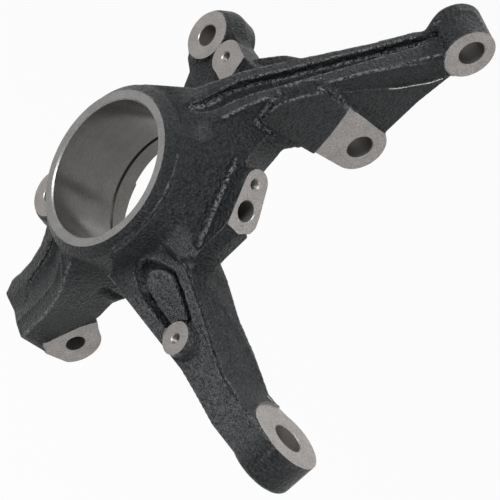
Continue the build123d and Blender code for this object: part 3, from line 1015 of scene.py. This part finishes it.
    def fill_hollows(self, mesh: bpy.types.Mesh) -> None:
        """Round the inner corners, as the fillets of a pattern do, and leave the outer ones.

        Args:
            mesh: The remeshed casting, which is changed.
        """
        p, count = read_points(mesh, "co"), len(mesh.vertices)
        a, b = edge_ends(mesh)
        degree = np.bincount(a, minlength=count) + np.bincount(b, minlength=count)
        rounds, melting = np.full(count, float(self.fill_rounds)), np.zeros(count)
        for fillet in self.fillets:
            away = np.linalg.norm(p - np.array(fillet.centre) * MM, axis=1) / (fillet.reach * MM)
            more = fillet.rounds * np.clip(2 * (1 - away), 0, 1)
            rounds += more
            melting += more * fillet.melts
        for step in range(int(rounds.max())):
            if step % self.refresh == 0:
                write_points(mesh, p)
                n = read_points(mesh, "normal")
            mean = np.empty_like(p)
            for k in range(3):
                near = np.bincount(a, p[b, k], count) + np.bincount(b, p[a, k], count)
                mean[:, k] = near / np.maximum(degree, 1)
            lift = ((mean - p) * n).sum(1) * self.fill_gain * (rounds > step)
            lift[(lift < 0) & (melting <= step)] = 0
            p += n * lift[:, None]
        write_points(mesh, p)

    def machine(self, body: bpy.types.Object, cutters: list[bpy.types.Mesh],
                materials: list[bpy.types.Material]) -> None:
        """Cut the flats, bores and holes.

        Args:
            body: The rough casting.
            cutters: Closed meshes to take away, with their material indices.
            materials: The materials that the indices mean.
        """
        for mat in materials:
            body.data.materials.append(mat)
        for i, mesh in enumerate(cutters):
            tool = link(f"cutter_{i}", mesh)
            for mat in materials:
                mesh.materials.append(mat)
            cut = body.modifiers.new("cut", "BOOLEAN")
            cut.operation = "DIFFERENCE"
            cut.solver = "EXACT"
            cut.object = tool
            baked(body)
            drop(tool)

    def thin(self, body: bpy.types.Object) -> None:
        """Take out faces that the shape doesn't need.

        Args:
            body: The casting, which is changed.
        """
        less = body.modifiers.new("less", "DECIMATE")
        less.ratio = self.keep
        baked(body)

    def shade(self, body: bpy.types.Object) -> None:
        """Smooth the cast skin and the bores, and keep the edges of the cuts sharp.

        Args:
            body: The machined casting, which is changed.
        """
        body.data.shade_smooth()
        body.data.set_sharp_from_angle(angle=math.radians(self.sharp_deg))

    def _bends(self, mesh: bpy.types.Mesh, points: np.ndarray, normals: np.ndarray) -> np.ndarray:
        """Measure how the skin bends at each vertex.

        Args:
            mesh: The machined casting.
            points: Its vertices.
            normals: Their normals.

        Returns:
            The mean bend in 1/m, slightly blurred, above 0 on an edge and below 0 in a hollow.
        """
        a, b = edge_ends(mesh)
        step = points[b] - points[a]
        length = np.linalg.norm(step, axis=1) + TINY
        bend = ((normals[b] - normals[a]) * step).sum(1) / length ** 2
        total, weight = np.zeros(len(points)), np.zeros(len(points))
        for end in (a, b):
            np.add.at(total, end, bend * length)
            np.add.at(weight, end, length)
        mean = total / np.maximum(weight, TINY)
        for _ in range(self.blur):
            total[:], weight[:] = 0, 0
            for end, other in ((a, b), (b, a)):
                np.add.at(total, end, mean[other])
                np.add.at(weight, end, 1)
            mean = 0.5 * mean + 0.5 * total / np.maximum(weight, 1)
        return mean

    def mark_skin(self, body: bpy.types.Object) -> None:
        """Store where the skin is hollow, edged or coarse for the paint; coarse also holds painted highlight
        spots.

        Args:
            body: The machined casting, which gets the three attributes.
        """
        points, normals = read_points(body.data, "co"), read_points(body.data, "normal")
        bend = self._bends(body.data, points, normals)
        slope = math.radians(self.sandy_slope)
        facing = normals @ np.array([math.sin(slope), -math.cos(slope), 0])
        x = points[:, 0] / MM
        coarse = ramp(facing, self.sandy_facing) * ramp(x, self.sandy_start) * (1 - ramp(x, self.sandy_end))
        # Each patch adds painted highlight: it raises the coarse mark, so the grit paints that spot lighter
        # and the sand bump rises.
        for patch in self.sand_and_highlight_patches:
            away = np.linalg.norm(points - np.array(patch.centre) * MM, axis=1) / (patch.reach * MM)
            coarse = np.maximum(coarse, patch.strength * np.clip(2 * (1 - away), 0, 1))
        marks = (ramp(-bend, self.hollow_bend), ramp(bend, self.edge_bend), coarse)
        for name, values in zip(SKIN_MARKS, marks):
            layer = body.data.attributes.new(name, "FLOAT", "POINT")
            layer.data.foreach_set("value", values.astype(np.float32))


@dataclass
class PartingFlash:
    """Ragged fins of bright metal, where the flash on the parting line was ground off.

    Args:
        paths: Points along each fin, in millimetres.
        width: Half width of a fin in millimetres.
        step: Distance between two rings of the sweep in millimetres.
        ragged: How far the fin wanders in millimetres.
        seed: Place in the noise that sets the wandering.
    """

    paths: tuple[tuple[tuple[float, float, float], ...], ...] = (
        ((13.5, 94.0, 130.2), (13.6, 98.5, 133.1), (13.6, 106.0, 139.9), (13.6, 113.1, 146.3),
         (13.5, 117.4, 152.2)),
        ((115.2, 97.0, -18.2), (116.4, 99.2, -18.6), (118.0, 102.4, -19.1)),
    )
    width: float = 0.34
    step: float = 0.45
    ragged: float = 0.9
    seed: float = 7.0

    def tree(self, material: bpy.types.Material) -> bpy.types.NodeTree:
        """The Geometry Nodes tree that sweeps a fin along every edge path.

        Args:
            material: The finish of the fins.

        Returns:
            A tree with the inputs Width, Step, Ragged and Seed.
        """
        tree = bpy.data.node_groups.new("parting_flash", "GeometryNodeTree")
        tree.interface.new_socket("Geometry", in_out="INPUT", socket_type="NodeSocketGeometry")
        for name in ("Width", "Step", "Ragged", "Seed"):
            tree.interface.new_socket(name, in_out="INPUT", socket_type="NodeSocketFloat")
        tree.interface.new_socket("Geometry", in_out="OUTPUT", socket_type="NodeSocketGeometry")
        nodes, links = tree.nodes, tree.links
        gin, gout = nodes.new("NodeGroupInput"), nodes.new("NodeGroupOutput")
        curve = nodes.new("GeometryNodeMeshToCurve")
        links.new(gin.outputs["Geometry"], curve.inputs["Mesh"])
        rings = nodes.new("GeometryNodeResampleCurve")
        rings.mode = "LENGTH"
        links.new(curve.outputs["Curve"], rings.inputs["Curve"])
        links.new(gin.outputs["Step"], rings.inputs["Length"])
        place = nodes.new("GeometryNodeInputPosition")
        noise = nodes.new("ShaderNodeTexNoise")
        noise.noise_dimensions = "4D"
        noise.inputs["Scale"].default_value = 1 / (1.6 * MM)
        links.new(place.outputs["Position"], noise.inputs["Vector"])
        links.new(gin.outputs["Seed"], noise.inputs["W"])
        centred = nodes.new("ShaderNodeVectorMath")
        centred.operation = "SUBTRACT"
        centred.inputs[1].default_value = (0.5, 0.5, 0.5)
        links.new(noise.outputs["Color"], centred.inputs[0])
        wander = nodes.new("ShaderNodeVectorMath")
        wander.operation = "SCALE"
        links.new(centred.outputs["Vector"], wander.inputs["Vector"])
        links.new(gin.outputs["Ragged"], wander.inputs["Scale"])
        moved = nodes.new("GeometryNodeSetPosition")
        links.new(rings.outputs["Curve"], moved.inputs["Geometry"])
        links.new(wander.outputs["Vector"], moved.inputs["Offset"])
        ring = nodes.new("GeometryNodeCurvePrimitiveCircle")
        ring.inputs["Resolution"].default_value = 8
        links.new(gin.outputs["Width"], ring.inputs["Radius"])
        sweep = nodes.new("GeometryNodeCurveToMesh")
        sweep.inputs["Fill Caps"].default_value = True
        links.new(moved.outputs["Geometry"], sweep.inputs["Curve"])
        links.new(ring.outputs["Curve"], sweep.inputs["Profile Curve"])
        real = nodes.new("GeometryNodeRealizeInstances")
        links.new(sweep.outputs["Mesh"], real.inputs["Geometry"])
        paint = nodes.new("GeometryNodeSetMaterial")
        paint.inputs["Material"].default_value = material
        links.new(real.outputs["Geometry"], paint.inputs["Geometry"])
        links.new(paint.outputs["Geometry"], gout.inputs["Geometry"])
        return tree

    def build(self, material: bpy.types.Material) -> bpy.types.Object:
        """Sweep the fins.

        Args:
            material: The finish of the fins.

        Returns:
            One piece with every fin as a closed shell.
        """
        bm = bmesh.new()
        for path in self.paths:
            verts = [bm.verts.new(vec(*point)) for point in path]
            for a, b in zip(verts, verts[1:]):
                bm.edges.new((a, b))
        mesh = bpy.data.meshes.new("parting_flash")
        bm.to_mesh(mesh)
        bm.free()
        fins = link("parting_flash", mesh)
        tree = self.tree(material)
        modifier = fins.modifiers.new("sweep", "NODES")
        modifier.node_group = tree
        sizes = {"Width": self.width * MM, "Step": self.step * MM, "Ragged": self.ragged * MM,
                 "Seed": self.seed}
        for item in tree.interface.items_tree:
            if item.name in sizes:
                modifier[item.identifier] = sizes[item.name]
        baked(fins)
        return fins


@dataclass(frozen=True)
class Machining:
    """Every flat and hole of the knuckle, in millimetres, in the CAD frame.

    Args:
        bore_r: Radius of the bearing bore.
        bore_l: Length of the bearing bore.
        bore_bevels: Widths of the chamfers at its mouth and at its far end.
        groove: Start, end and depth of the groove for the retaining ring.
        hub_face_r: Radius of the turned face round the bore.
        strut_x: Place of the strut's near faces along X.
        strut_far_x: Place of the strut's far faces along X.
        strut_upper: Y and Z of the upper strut bolt.
        strut_lower: Y and Z of the lower strut bolt.
        strut_r: Radius of the lower boss.
        strut_bolt_r: Radius of the strut bolt holes.
        upper_r: Radius of the upper boss.
        upper_shift: Shift of the upper boss from its bolt.
        plate_edge: Y and Z of the bolt plate's slanting edge, from its foot.
        plate_top: Y and Z of the plate's upper corner.
        plate_level: Z of the plate's upper edge beside the boss.
        plate_side: Half width of the milled plate beside the lower bolt.
        plate_foot: End of the milled plate below the lower bolt.
        ear: Centre of the upper caliper ear.
        ear_t: Thickness of the ears.
        ear_r: Radius of the faces on the ears, near and far.
        ear_bolt_r: Radius of the caliper bolt holes.
        shield_upper: Mouth of the upper shield screw.
        shield_lower: Mouth of the lower shield screw.
        shield_r: Radius of the faces round the shield screws, upper and lower.
        shield_depth: Depth of the shield screw holes.
        eye: Centre of the steering arm's eye.
        eye_h: Height of the eye.
        eye_face_r: Radius of the faces on the eye.
        eye_r: Radius of the eye's hole.
        sensor_deg: Turn of the sensor's axis about Y.
        sensor_rho: Distance of the sensor's face from the hub's axis.
        sensor_y: Place of the sensor along Y.
        sensor_face_r: Radius of the milled face round the sensor.
        sensor_r: Radius of the sensor bore.
        sensor_floor: Distance of its far end from the hub's axis.
        screw_up: Distance of the sensor's screw from the sensor.
        screw_y: Shift of the screw along Y.
        screw_depth: Depth of the screw's hole.
        pinch: Y and Z of the pinch bolt.
        pinch_x: Place of the lug's near face along X.
        pinch_far_x: Place of its far face.
        pinch_r: Radius of the bolt's hole.
        pinch_far_r: Radius of the face round its far end.
        pinch_edge: Y and Z round the lug's milled face.
        stud_y: Place of the ball stud along Y.
        stud_r: Radius of its socket.
        stud_depth: Depth of its socket.
        leg_z: Foot of the leg.
        slit_half: Half width of the saw cut through the lug.
        slit_size: Reach along Y and height of the saw cut.
        tap_r: Core radius of the screw threads.
        pitch: Pitch of the screw threads.
    """

    bore_r: float = 40.0
    bore_l: float = 57.0
    bore_bevels: tuple[float, float] = (0.8, 0.6)
    groove: tuple[float, float, float] = (45.0, 47.2, 1.6)
    hub_face_r: float = 50.0
    strut_x: float = 13.0
    strut_far_x: float = -11.5
    strut_upper: tuple[float, float] = (119.6, 173.0)
    strut_lower: tuple[float, float] = (112.8, 91.7)
    strut_r: float = 16.0
    strut_bolt_r: float = 7.7
    upper_r: float = 15.4
    upper_shift: tuple[float, float] = (-0.7, -1.2)
    plate_edge: tuple[tuple[float, float], ...] = ((87.9, 75.7), (86.1, 89.8), (81.7, 109.6))
    plate_top: tuple[float, float] = (117.8, 106.8)
    plate_level: float = 106.0
    plate_side: float = 22.0
    plate_foot: float = -20.0
    ear: tuple[float, float, float] = (-71.2, 46.5, 68.7)
    ear_t: float = 22.0
    ear_r: tuple[float, float] = (18.5, 20.0)
    ear_bolt_r: float = 6.5
    shield_upper: tuple[float, float, float] = (-41.4, 42.0, 75.2)
    shield_lower: tuple[float, float, float] = (89.4, 42.0, -24.5)
    shield_r: tuple[float, float] = (17.5, 9.7)
    shield_depth: float = 14.0
    eye: tuple[float, float, float] = (141.9, 102.8, -20.0)
    eye_h: float = 22.5
    eye_face_r: float = 23.5
    eye_r: float = 9.0
    sensor_deg: float = 37.6
    sensor_rho: float = 77.7
    sensor_y: float = 38.3
    sensor_face_r: float = 27.0
    sensor_r: float = 5.75
    sensor_floor: float = 39.0
    screw_up: float = 15.0
    screw_y: float = -0.8
    screw_depth: float = 16.0
    pinch: tuple[float, float] = (64.8, -101.8)
    pinch_x: float = 17.0
    pinch_far_x: float = -19.0
    pinch_r: float = 5.7
    pinch_far_r: float = 12.0
    pinch_edge: tuple[tuple[float, float], ...] = (
        (44.5, -114.3), (50.4, -99.6), (56.3, -88.6), (62.9, -80.9), (67, -76), (90, -80), (90, -122),
        (44.5, -122))
    stud_y: float = 52.6
    stud_r: float = 8.5
    stud_depth: float = 42.0
    leg_z: float = -116.0
    slit_half: float = 1.75
    slit_size: tuple[float, float] = (40.0, 44.0)
    tap_r: float = 2.6
    pitch: float = 1.0

    def sensor_axis(self) -> tuple[float, float, float]:
        """The way the sensor face looks."""
        a = math.radians(self.sensor_deg)
        return (math.cos(a), 0.0, math.sin(a))

    def _strut_pads(self) -> list[Pad]:
        """Lay out the flats round the strut bolts.

        Returns:
            The upper boss, near and far, then the bolt plate and the lower boss behind it.
        """
        uy, uz = self.strut_upper
        ly, lz = self.strut_lower
        edge = [(y - ly, z - lz) for y, z in self.plate_edge]
        top, level = (self.plate_top[0] - ly, self.plate_top[1] - lz), self.plate_level - lz
        plate = [(edge[0][0], self.plate_foot), *edge, top, (self.plate_side, level),
                 (self.plate_side, self.plate_foot)]
        rim = ring_points(self.strut_r, 40)
        cheek = [*edge, *reversed(rim[-10:] + rim[:9])]
        shift_y, shift_z = self.upper_shift
        crown = [(x + shift_y, y + shift_z) for x, y in ring_points(self.upper_r, 60)]
        back = [(-x, y) for x, y in crown]
        rear = [(-x, y) for x, y in ring_points(self.strut_r, 60)]
        return [
            Pad((self.strut_x, uy, uz), (1, 0, 0), outline=crown, boss=crown),
            Pad((self.strut_far_x, uy, uz), (-1, 0, 0), outline=back, boss=back),
            Pad((self.strut_x, ly, lz), (1, 0, 0), outline=plate, boss=cheek),
            Pad((self.strut_far_x, ly, lz), (-1, 0, 0), outline=rear, boss=rear),
        ]

    def pads(self) -> list[Pad]:
        """Lay out the milled flats.

        Returns:
            Every flat, in the order of the cuts.
        """
        ex, ey, ez = self.ear
        near_r, far_r = self.ear_r
        x, y, z = self.eye
        d = self.sensor_axis()
        py, pz = self.pinch
        return [
            Pad((0, 0, 0), (0, -1, 0), self.hub_face_r, slot=Cut.TURNED),
            *self._strut_pads(),
            Pad((ex, ey, ez), (0, -1, 0), near_r),
            Pad((ex, ey, -ez), (0, -1, 0), near_r),
            Pad((ex, ey + self.ear_t, ez), (0, 1, 0), far_r),
            Pad((ex, ey + self.ear_t, -ez), (0, 1, 0), far_r),
            Pad(self.shield_upper, (0, -1, 0), self.shield_r[0]),
            Pad(self.shield_lower, (0, -1, 0), self.shield_r[1]),
            Pad(self.eye, (0, 0, 1), self.eye_face_r),
            Pad((x, y, z - self.eye_h), (0, 0, -1), self.eye_face_r),
            Pad((self.sensor_rho * d[0], self.sensor_y, self.sensor_rho * d[2]), d, self.sensor_face_r),
            Pad((self.pinch_x, py, pz), (1, 0, 0), outline=[(a - py, b - pz) for a, b in self.pinch_edge]),
            Pad((self.pinch_far_x, py, pz), (-1, 0, 0), self.pinch_far_r),
        ]

    def _tapped(self, mouth: tuple[float, float, float], axis: tuple[float, float, float], depth: float,
                bevel: float) -> Hole:
        """A small hole with a thread and a drill point.

        Args:
            mouth: Centre of the mouth.
            axis: The way from the hole out of its mouth.
            depth: Depth of the full bore.
            bevel: Width of the chamfer at the mouth.

        Returns:
            The hole.
        """
        return Hole(mouth, axis, self.tap_r, depth, bevel, thread=self.pitch, cone=1.5, steps=40)

    def holes(self) -> list[Hole]:
        """Lay out the drilled, bored and tapped holes.

        Returns:
            Every hole, in the order of the cuts.
        """
        ex, ey, ez = self.ear
        d = Vector(self.sensor_axis())
        up = Vector((-d.z, 0, d.x))
        face = d * self.sensor_rho + Vector((0, self.sensor_y, 0))
        screw = face + up * self.screw_up + Vector((0, self.screw_y, 0))
        thick = self.strut_x - self.strut_far_x
        lug = self.pinch_x - self.pinch_far_x
        return [
            Hole((self.strut_x, *self.strut_upper), (1, 0, 0), self.strut_bolt_r, thick),
            Hole((self.strut_x, *self.strut_lower), (1, 0, 0), self.strut_bolt_r, thick),
            Hole((ex, ey, ez), (0, -1, 0), self.ear_bolt_r, self.ear_t),
            Hole((ex, ey, -ez), (0, -1, 0), self.ear_bolt_r, self.ear_t),
            self._tapped(self.shield_upper, (0, -1, 0), self.shield_depth, 0.7),
            self._tapped(self.shield_lower, (0, -1, 0), self.shield_depth, 0.6),
            Hole(self.eye, (0, 0, 1), self.eye_r, self.eye_h),
            Hole(tuple(face), tuple(d), self.sensor_r, self.sensor_rho - self.sensor_floor, far_bevel=0.0),
            self._tapped(tuple(screw), tuple(d), self.screw_depth, 0.8),
            Hole((self.pinch_x, *self.pinch), (1, 0, 0), self.pinch_r, lug),
            Hole((0, self.stud_y, self.leg_z), (0, 0, -1), self.stud_r, self.stud_depth, 0.8, cone=2.0),
        ]

    def bore(self) -> bpy.types.Mesh:
        """Turn the bearing bore with its chamfers and ring groove.

        Returns:
            A closed mesh with a turned mouth and a bored wall.
        """
        r, length = self.bore_r, self.bore_l
        mouth, end = self.bore_bevels
        past, beyond = 5.0, 8.0
        start, stop, deep = self.groove
        rows = [(0, past), (r + mouth + past, past), (r, -mouth), (r, -start), (r + deep, -start),
                (r + deep, -stop), (r, -stop), (r, end - length), (r + end + beyond, -length - beyond),
                (0, -length - beyond)]
        slots = [Cut.TURNED] * 2 + [Cut.BORED] * 7
        return turned(metres(rows), Vector(), frame_of(Vector((0, -1, 0))), 192, slots)

    def slit(self) -> bpy.types.Mesh:
        """Make the saw cut that lets the pinch lug close.

        Returns:
            A closed slab.
        """
        reach, height = self.slit_size
        outline = metres([(0, 0), (reach, 0), (reach, height), (0, height)])
        foot = vec(-self.slit_half, self.stud_y, self.leg_z - 1)
        return prism(outline, foot, ALONG_X, 2 * self.slit_half * MM, Cut.DRILLED)

    def plugs(self) -> list[bpy.types.Mesh]:
        """Fill each hole of the CAD solid before the remesh.

        Returns:
            Closed meshes, each a little wider than its hole, and shorter where the hole is blind.
        """
        wider, bore_wider, blind = 0.6, 2.4, -1.0
        made = []
        for hole in self.holes():
            axis = Vector(hole.axis).normalized()
            deep = hole.depth + (blind if hole.cone else STOCK)
            circle = ring_points((hole.radius + wider) * MM, 40)
            base = vec(*hole.mouth) - axis * deep * MM
            made.append(prism(circle, base, frame_of(axis), (deep + STOCK) * MM))
        circle = ring_points((self.bore_r + bore_wider) * MM, 160)
        turn = frame_of(Vector((0, 1, 0)))
        made.append(prism(circle, vec(0, -STOCK, 0), turn, (self.bore_l + STOCK) * MM))
        slab = metres([(4, 1), (20, 1), (20, 41), (4, 41)])
        made.append(prism(slab, vec(-3, self.stud_y, self.leg_z), ALONG_X, 6 * MM))
        return made


@dataclass(frozen=True)
class Camera:
    """The photograph's viewpoint.

    Args:
        place: Position in millimetres.
        right: The image's right, in the part's frame.
        back: The way from the part to the camera.
        lens: Focal length in millimetres on a 36 mm sensor.
    """

    place: tuple[float, float, float] = (711.0, -613.6, 372.5)
    right: tuple[float, float, float] = (0.3212, 0.6571, 0.6820)
    back: tuple[float, float, float] = (0.6508, -0.6763, 0.3452)
    lens: float = 134.0

    def build(self) -> None:
        """Create the scene's camera."""
        data = bpy.data.cameras.new("camera")
        data.lens = self.lens
        data.sensor_width = 36.0
        data.clip_start, data.clip_end = 0.05, 50.0
        cam = bpy.data.objects.new("camera", data)
        bpy.context.scene.collection.objects.link(cam)
        back = Vector(self.back).normalized()
        right = (Vector(self.right) - back * Vector(self.right).dot(back)).normalized()
        turn = Matrix((right, back.cross(right), back)).transposed()
        cam.matrix_world = Matrix.Translation(vec(*self.place)) @ turn.to_4x4()
        bpy.context.scene.camera = cam


@dataclass(frozen=True)
class Lamp:
    """A square soft lamp.

    Args:
        name: Name of the lamp.
        place: Position in metres.
        size: Side of the square in metres.
        power: Power in watts.
    """

    name: str
    place: tuple[float, float, float]
    size: float
    power: float

    def build(self, aim: Vector) -> None:
        """Hang the lamp.

        Args:
            aim: The point it looks at, in metres.
        """
        data = bpy.data.lights.new(self.name, "AREA")
        data.shape = "SQUARE"
        data.size = self.size
        data.energy = self.power
        lamp = bpy.data.objects.new(self.name, data)
        bpy.context.scene.collection.objects.link(lamp)
        at = Vector(self.place)
        turn = (at - aim).to_track_quat("Z", "Y").to_matrix().to_4x4()
        lamp.matrix_world = Matrix.Translation(at) @ turn


@dataclass(frozen=True)
class Studio:
    """Floor, world and soft lamps.

    Args:
        paints: The paint shop, for the floor.
        fill: Strength of the grey light from all sides.
        half: Half width of the floor in metres.
        level: Height of the floor in metres.
        thick: Thickness of the floor in metres.
        aim: The point that the lamps look at, in millimetres.
        lamps: The lamps.
    """

    paints: Paintwork
    fill: float = 0.2
    half: float = 8.0
    level: float = -0.62
    thick: float = 0.02
    aim: tuple[float, float, float] = (35.0, 50.0, 25.0)
    lamps: tuple[Lamp, ...] = (
        Lamp("key", (0.1, -1.45, 1.3), 0.8, 36.0),
        Lamp("side", (1.65, 0.15, 0.6), 0.8, 15.0),
        Lamp("rim", (-0.9, 0.6, 1.2), 0.7, 5.0),
    )

    def floor(self) -> None:
        """A wide pale floor, well below the held part."""
        corners = [(-self.half, -self.half), (self.half, -self.half), (self.half, self.half),
                   (-self.half, self.half)]
        mesh = prism(corners, Vector((0, 0, self.level)), Matrix.Identity(3), self.thick)
        ground = link("floor", mesh)
        mesh.materials.append(self.paints.floor())

    def world(self) -> None:
        """White to the camera, gloss and glass, a soft grey fill for the rest."""
        world = bpy.data.worlds.new("studio")
        world.use_nodes = True
        tree = world.node_tree
        back = tree.nodes["Background"]
        back.inputs["Color"].default_value = WHITE
        path = tree.nodes.new("ShaderNodeLightPath")
        seen = path.outputs["Is Camera Ray"]
        for kind in ("Is Glossy Ray", "Is Transmission Ray"):
            both = tree.nodes.new("ShaderNodeMath")
            both.operation = "MAXIMUM"
            tree.links.new(seen, both.inputs[0])
            tree.links.new(path.outputs[kind], both.inputs[1])
            seen = both.outputs[0]
        span = tree.nodes.new("ShaderNodeMapRange")
        span.inputs["To Min"].default_value = self.fill
        span.inputs["To Max"].default_value = 1.0
        tree.links.new(seen, span.inputs["Value"])
        tree.links.new(span.outputs["Result"], back.inputs["Strength"])
        bpy.context.scene.world = world

    def build(self) -> None:
        """Set up the whole stage."""
        self.floor()
        self.world()
        for lamp in self.lamps:
            lamp.build(vec(*self.aim))


def main() -> None:
    """Build the knuckle, the stage and the camera."""
    logging.basicConfig(level=logging.INFO, format="%(message)s")
    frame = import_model()
    paints = Paintwork()
    finishes = [paints.cast(PAINT), paints.metal(MILLED), paints.metal(TURNED), paints.metal(BORED),
                paints.metal(DRILLED)]
    machining = Machining()
    casting = CastBody()
    pads = machining.pads()
    skin = casting.rough(frame["nodes"][NODE], pads, machining.plugs())
    LOG.info("rough casting: %d faces", len(skin.data.polygons))
    cutters = [pad.cutter() for pad in pads] + [machining.bore(), machining.slit()]
    cutters += [hole.cutter() for hole in machining.holes()]
    casting.thin(skin)
    casting.machine(skin, cutters, finishes)
    casting.shade(skin)
    casting.mark_skin(skin)
    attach(skin, BODY)
    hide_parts(NODE)
    skin.data.calc_loop_triangles()
    LOG.info("machined casting: %d cuts, %d triangles", len(cutters), len(skin.data.loop_triangles))
    fins = PartingFlash().build(paints.metal(FLASH))
    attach(fins, BODY)
    LOG.info("parting flash: %d faces", len(fins.data.polygons))
    camera = Camera()
    camera.build()
    LOG.info("camera: %.0f mm lens at %s mm", camera.lens, camera.place)
    studio = Studio(paints)
    studio.build()
    LOG.info("studio: floor, world and %d lamps", len(studio.lamps))
    bpy.context.scene.view_settings.view_transform = "Standard"


if __name__ == "__main__":
    main()
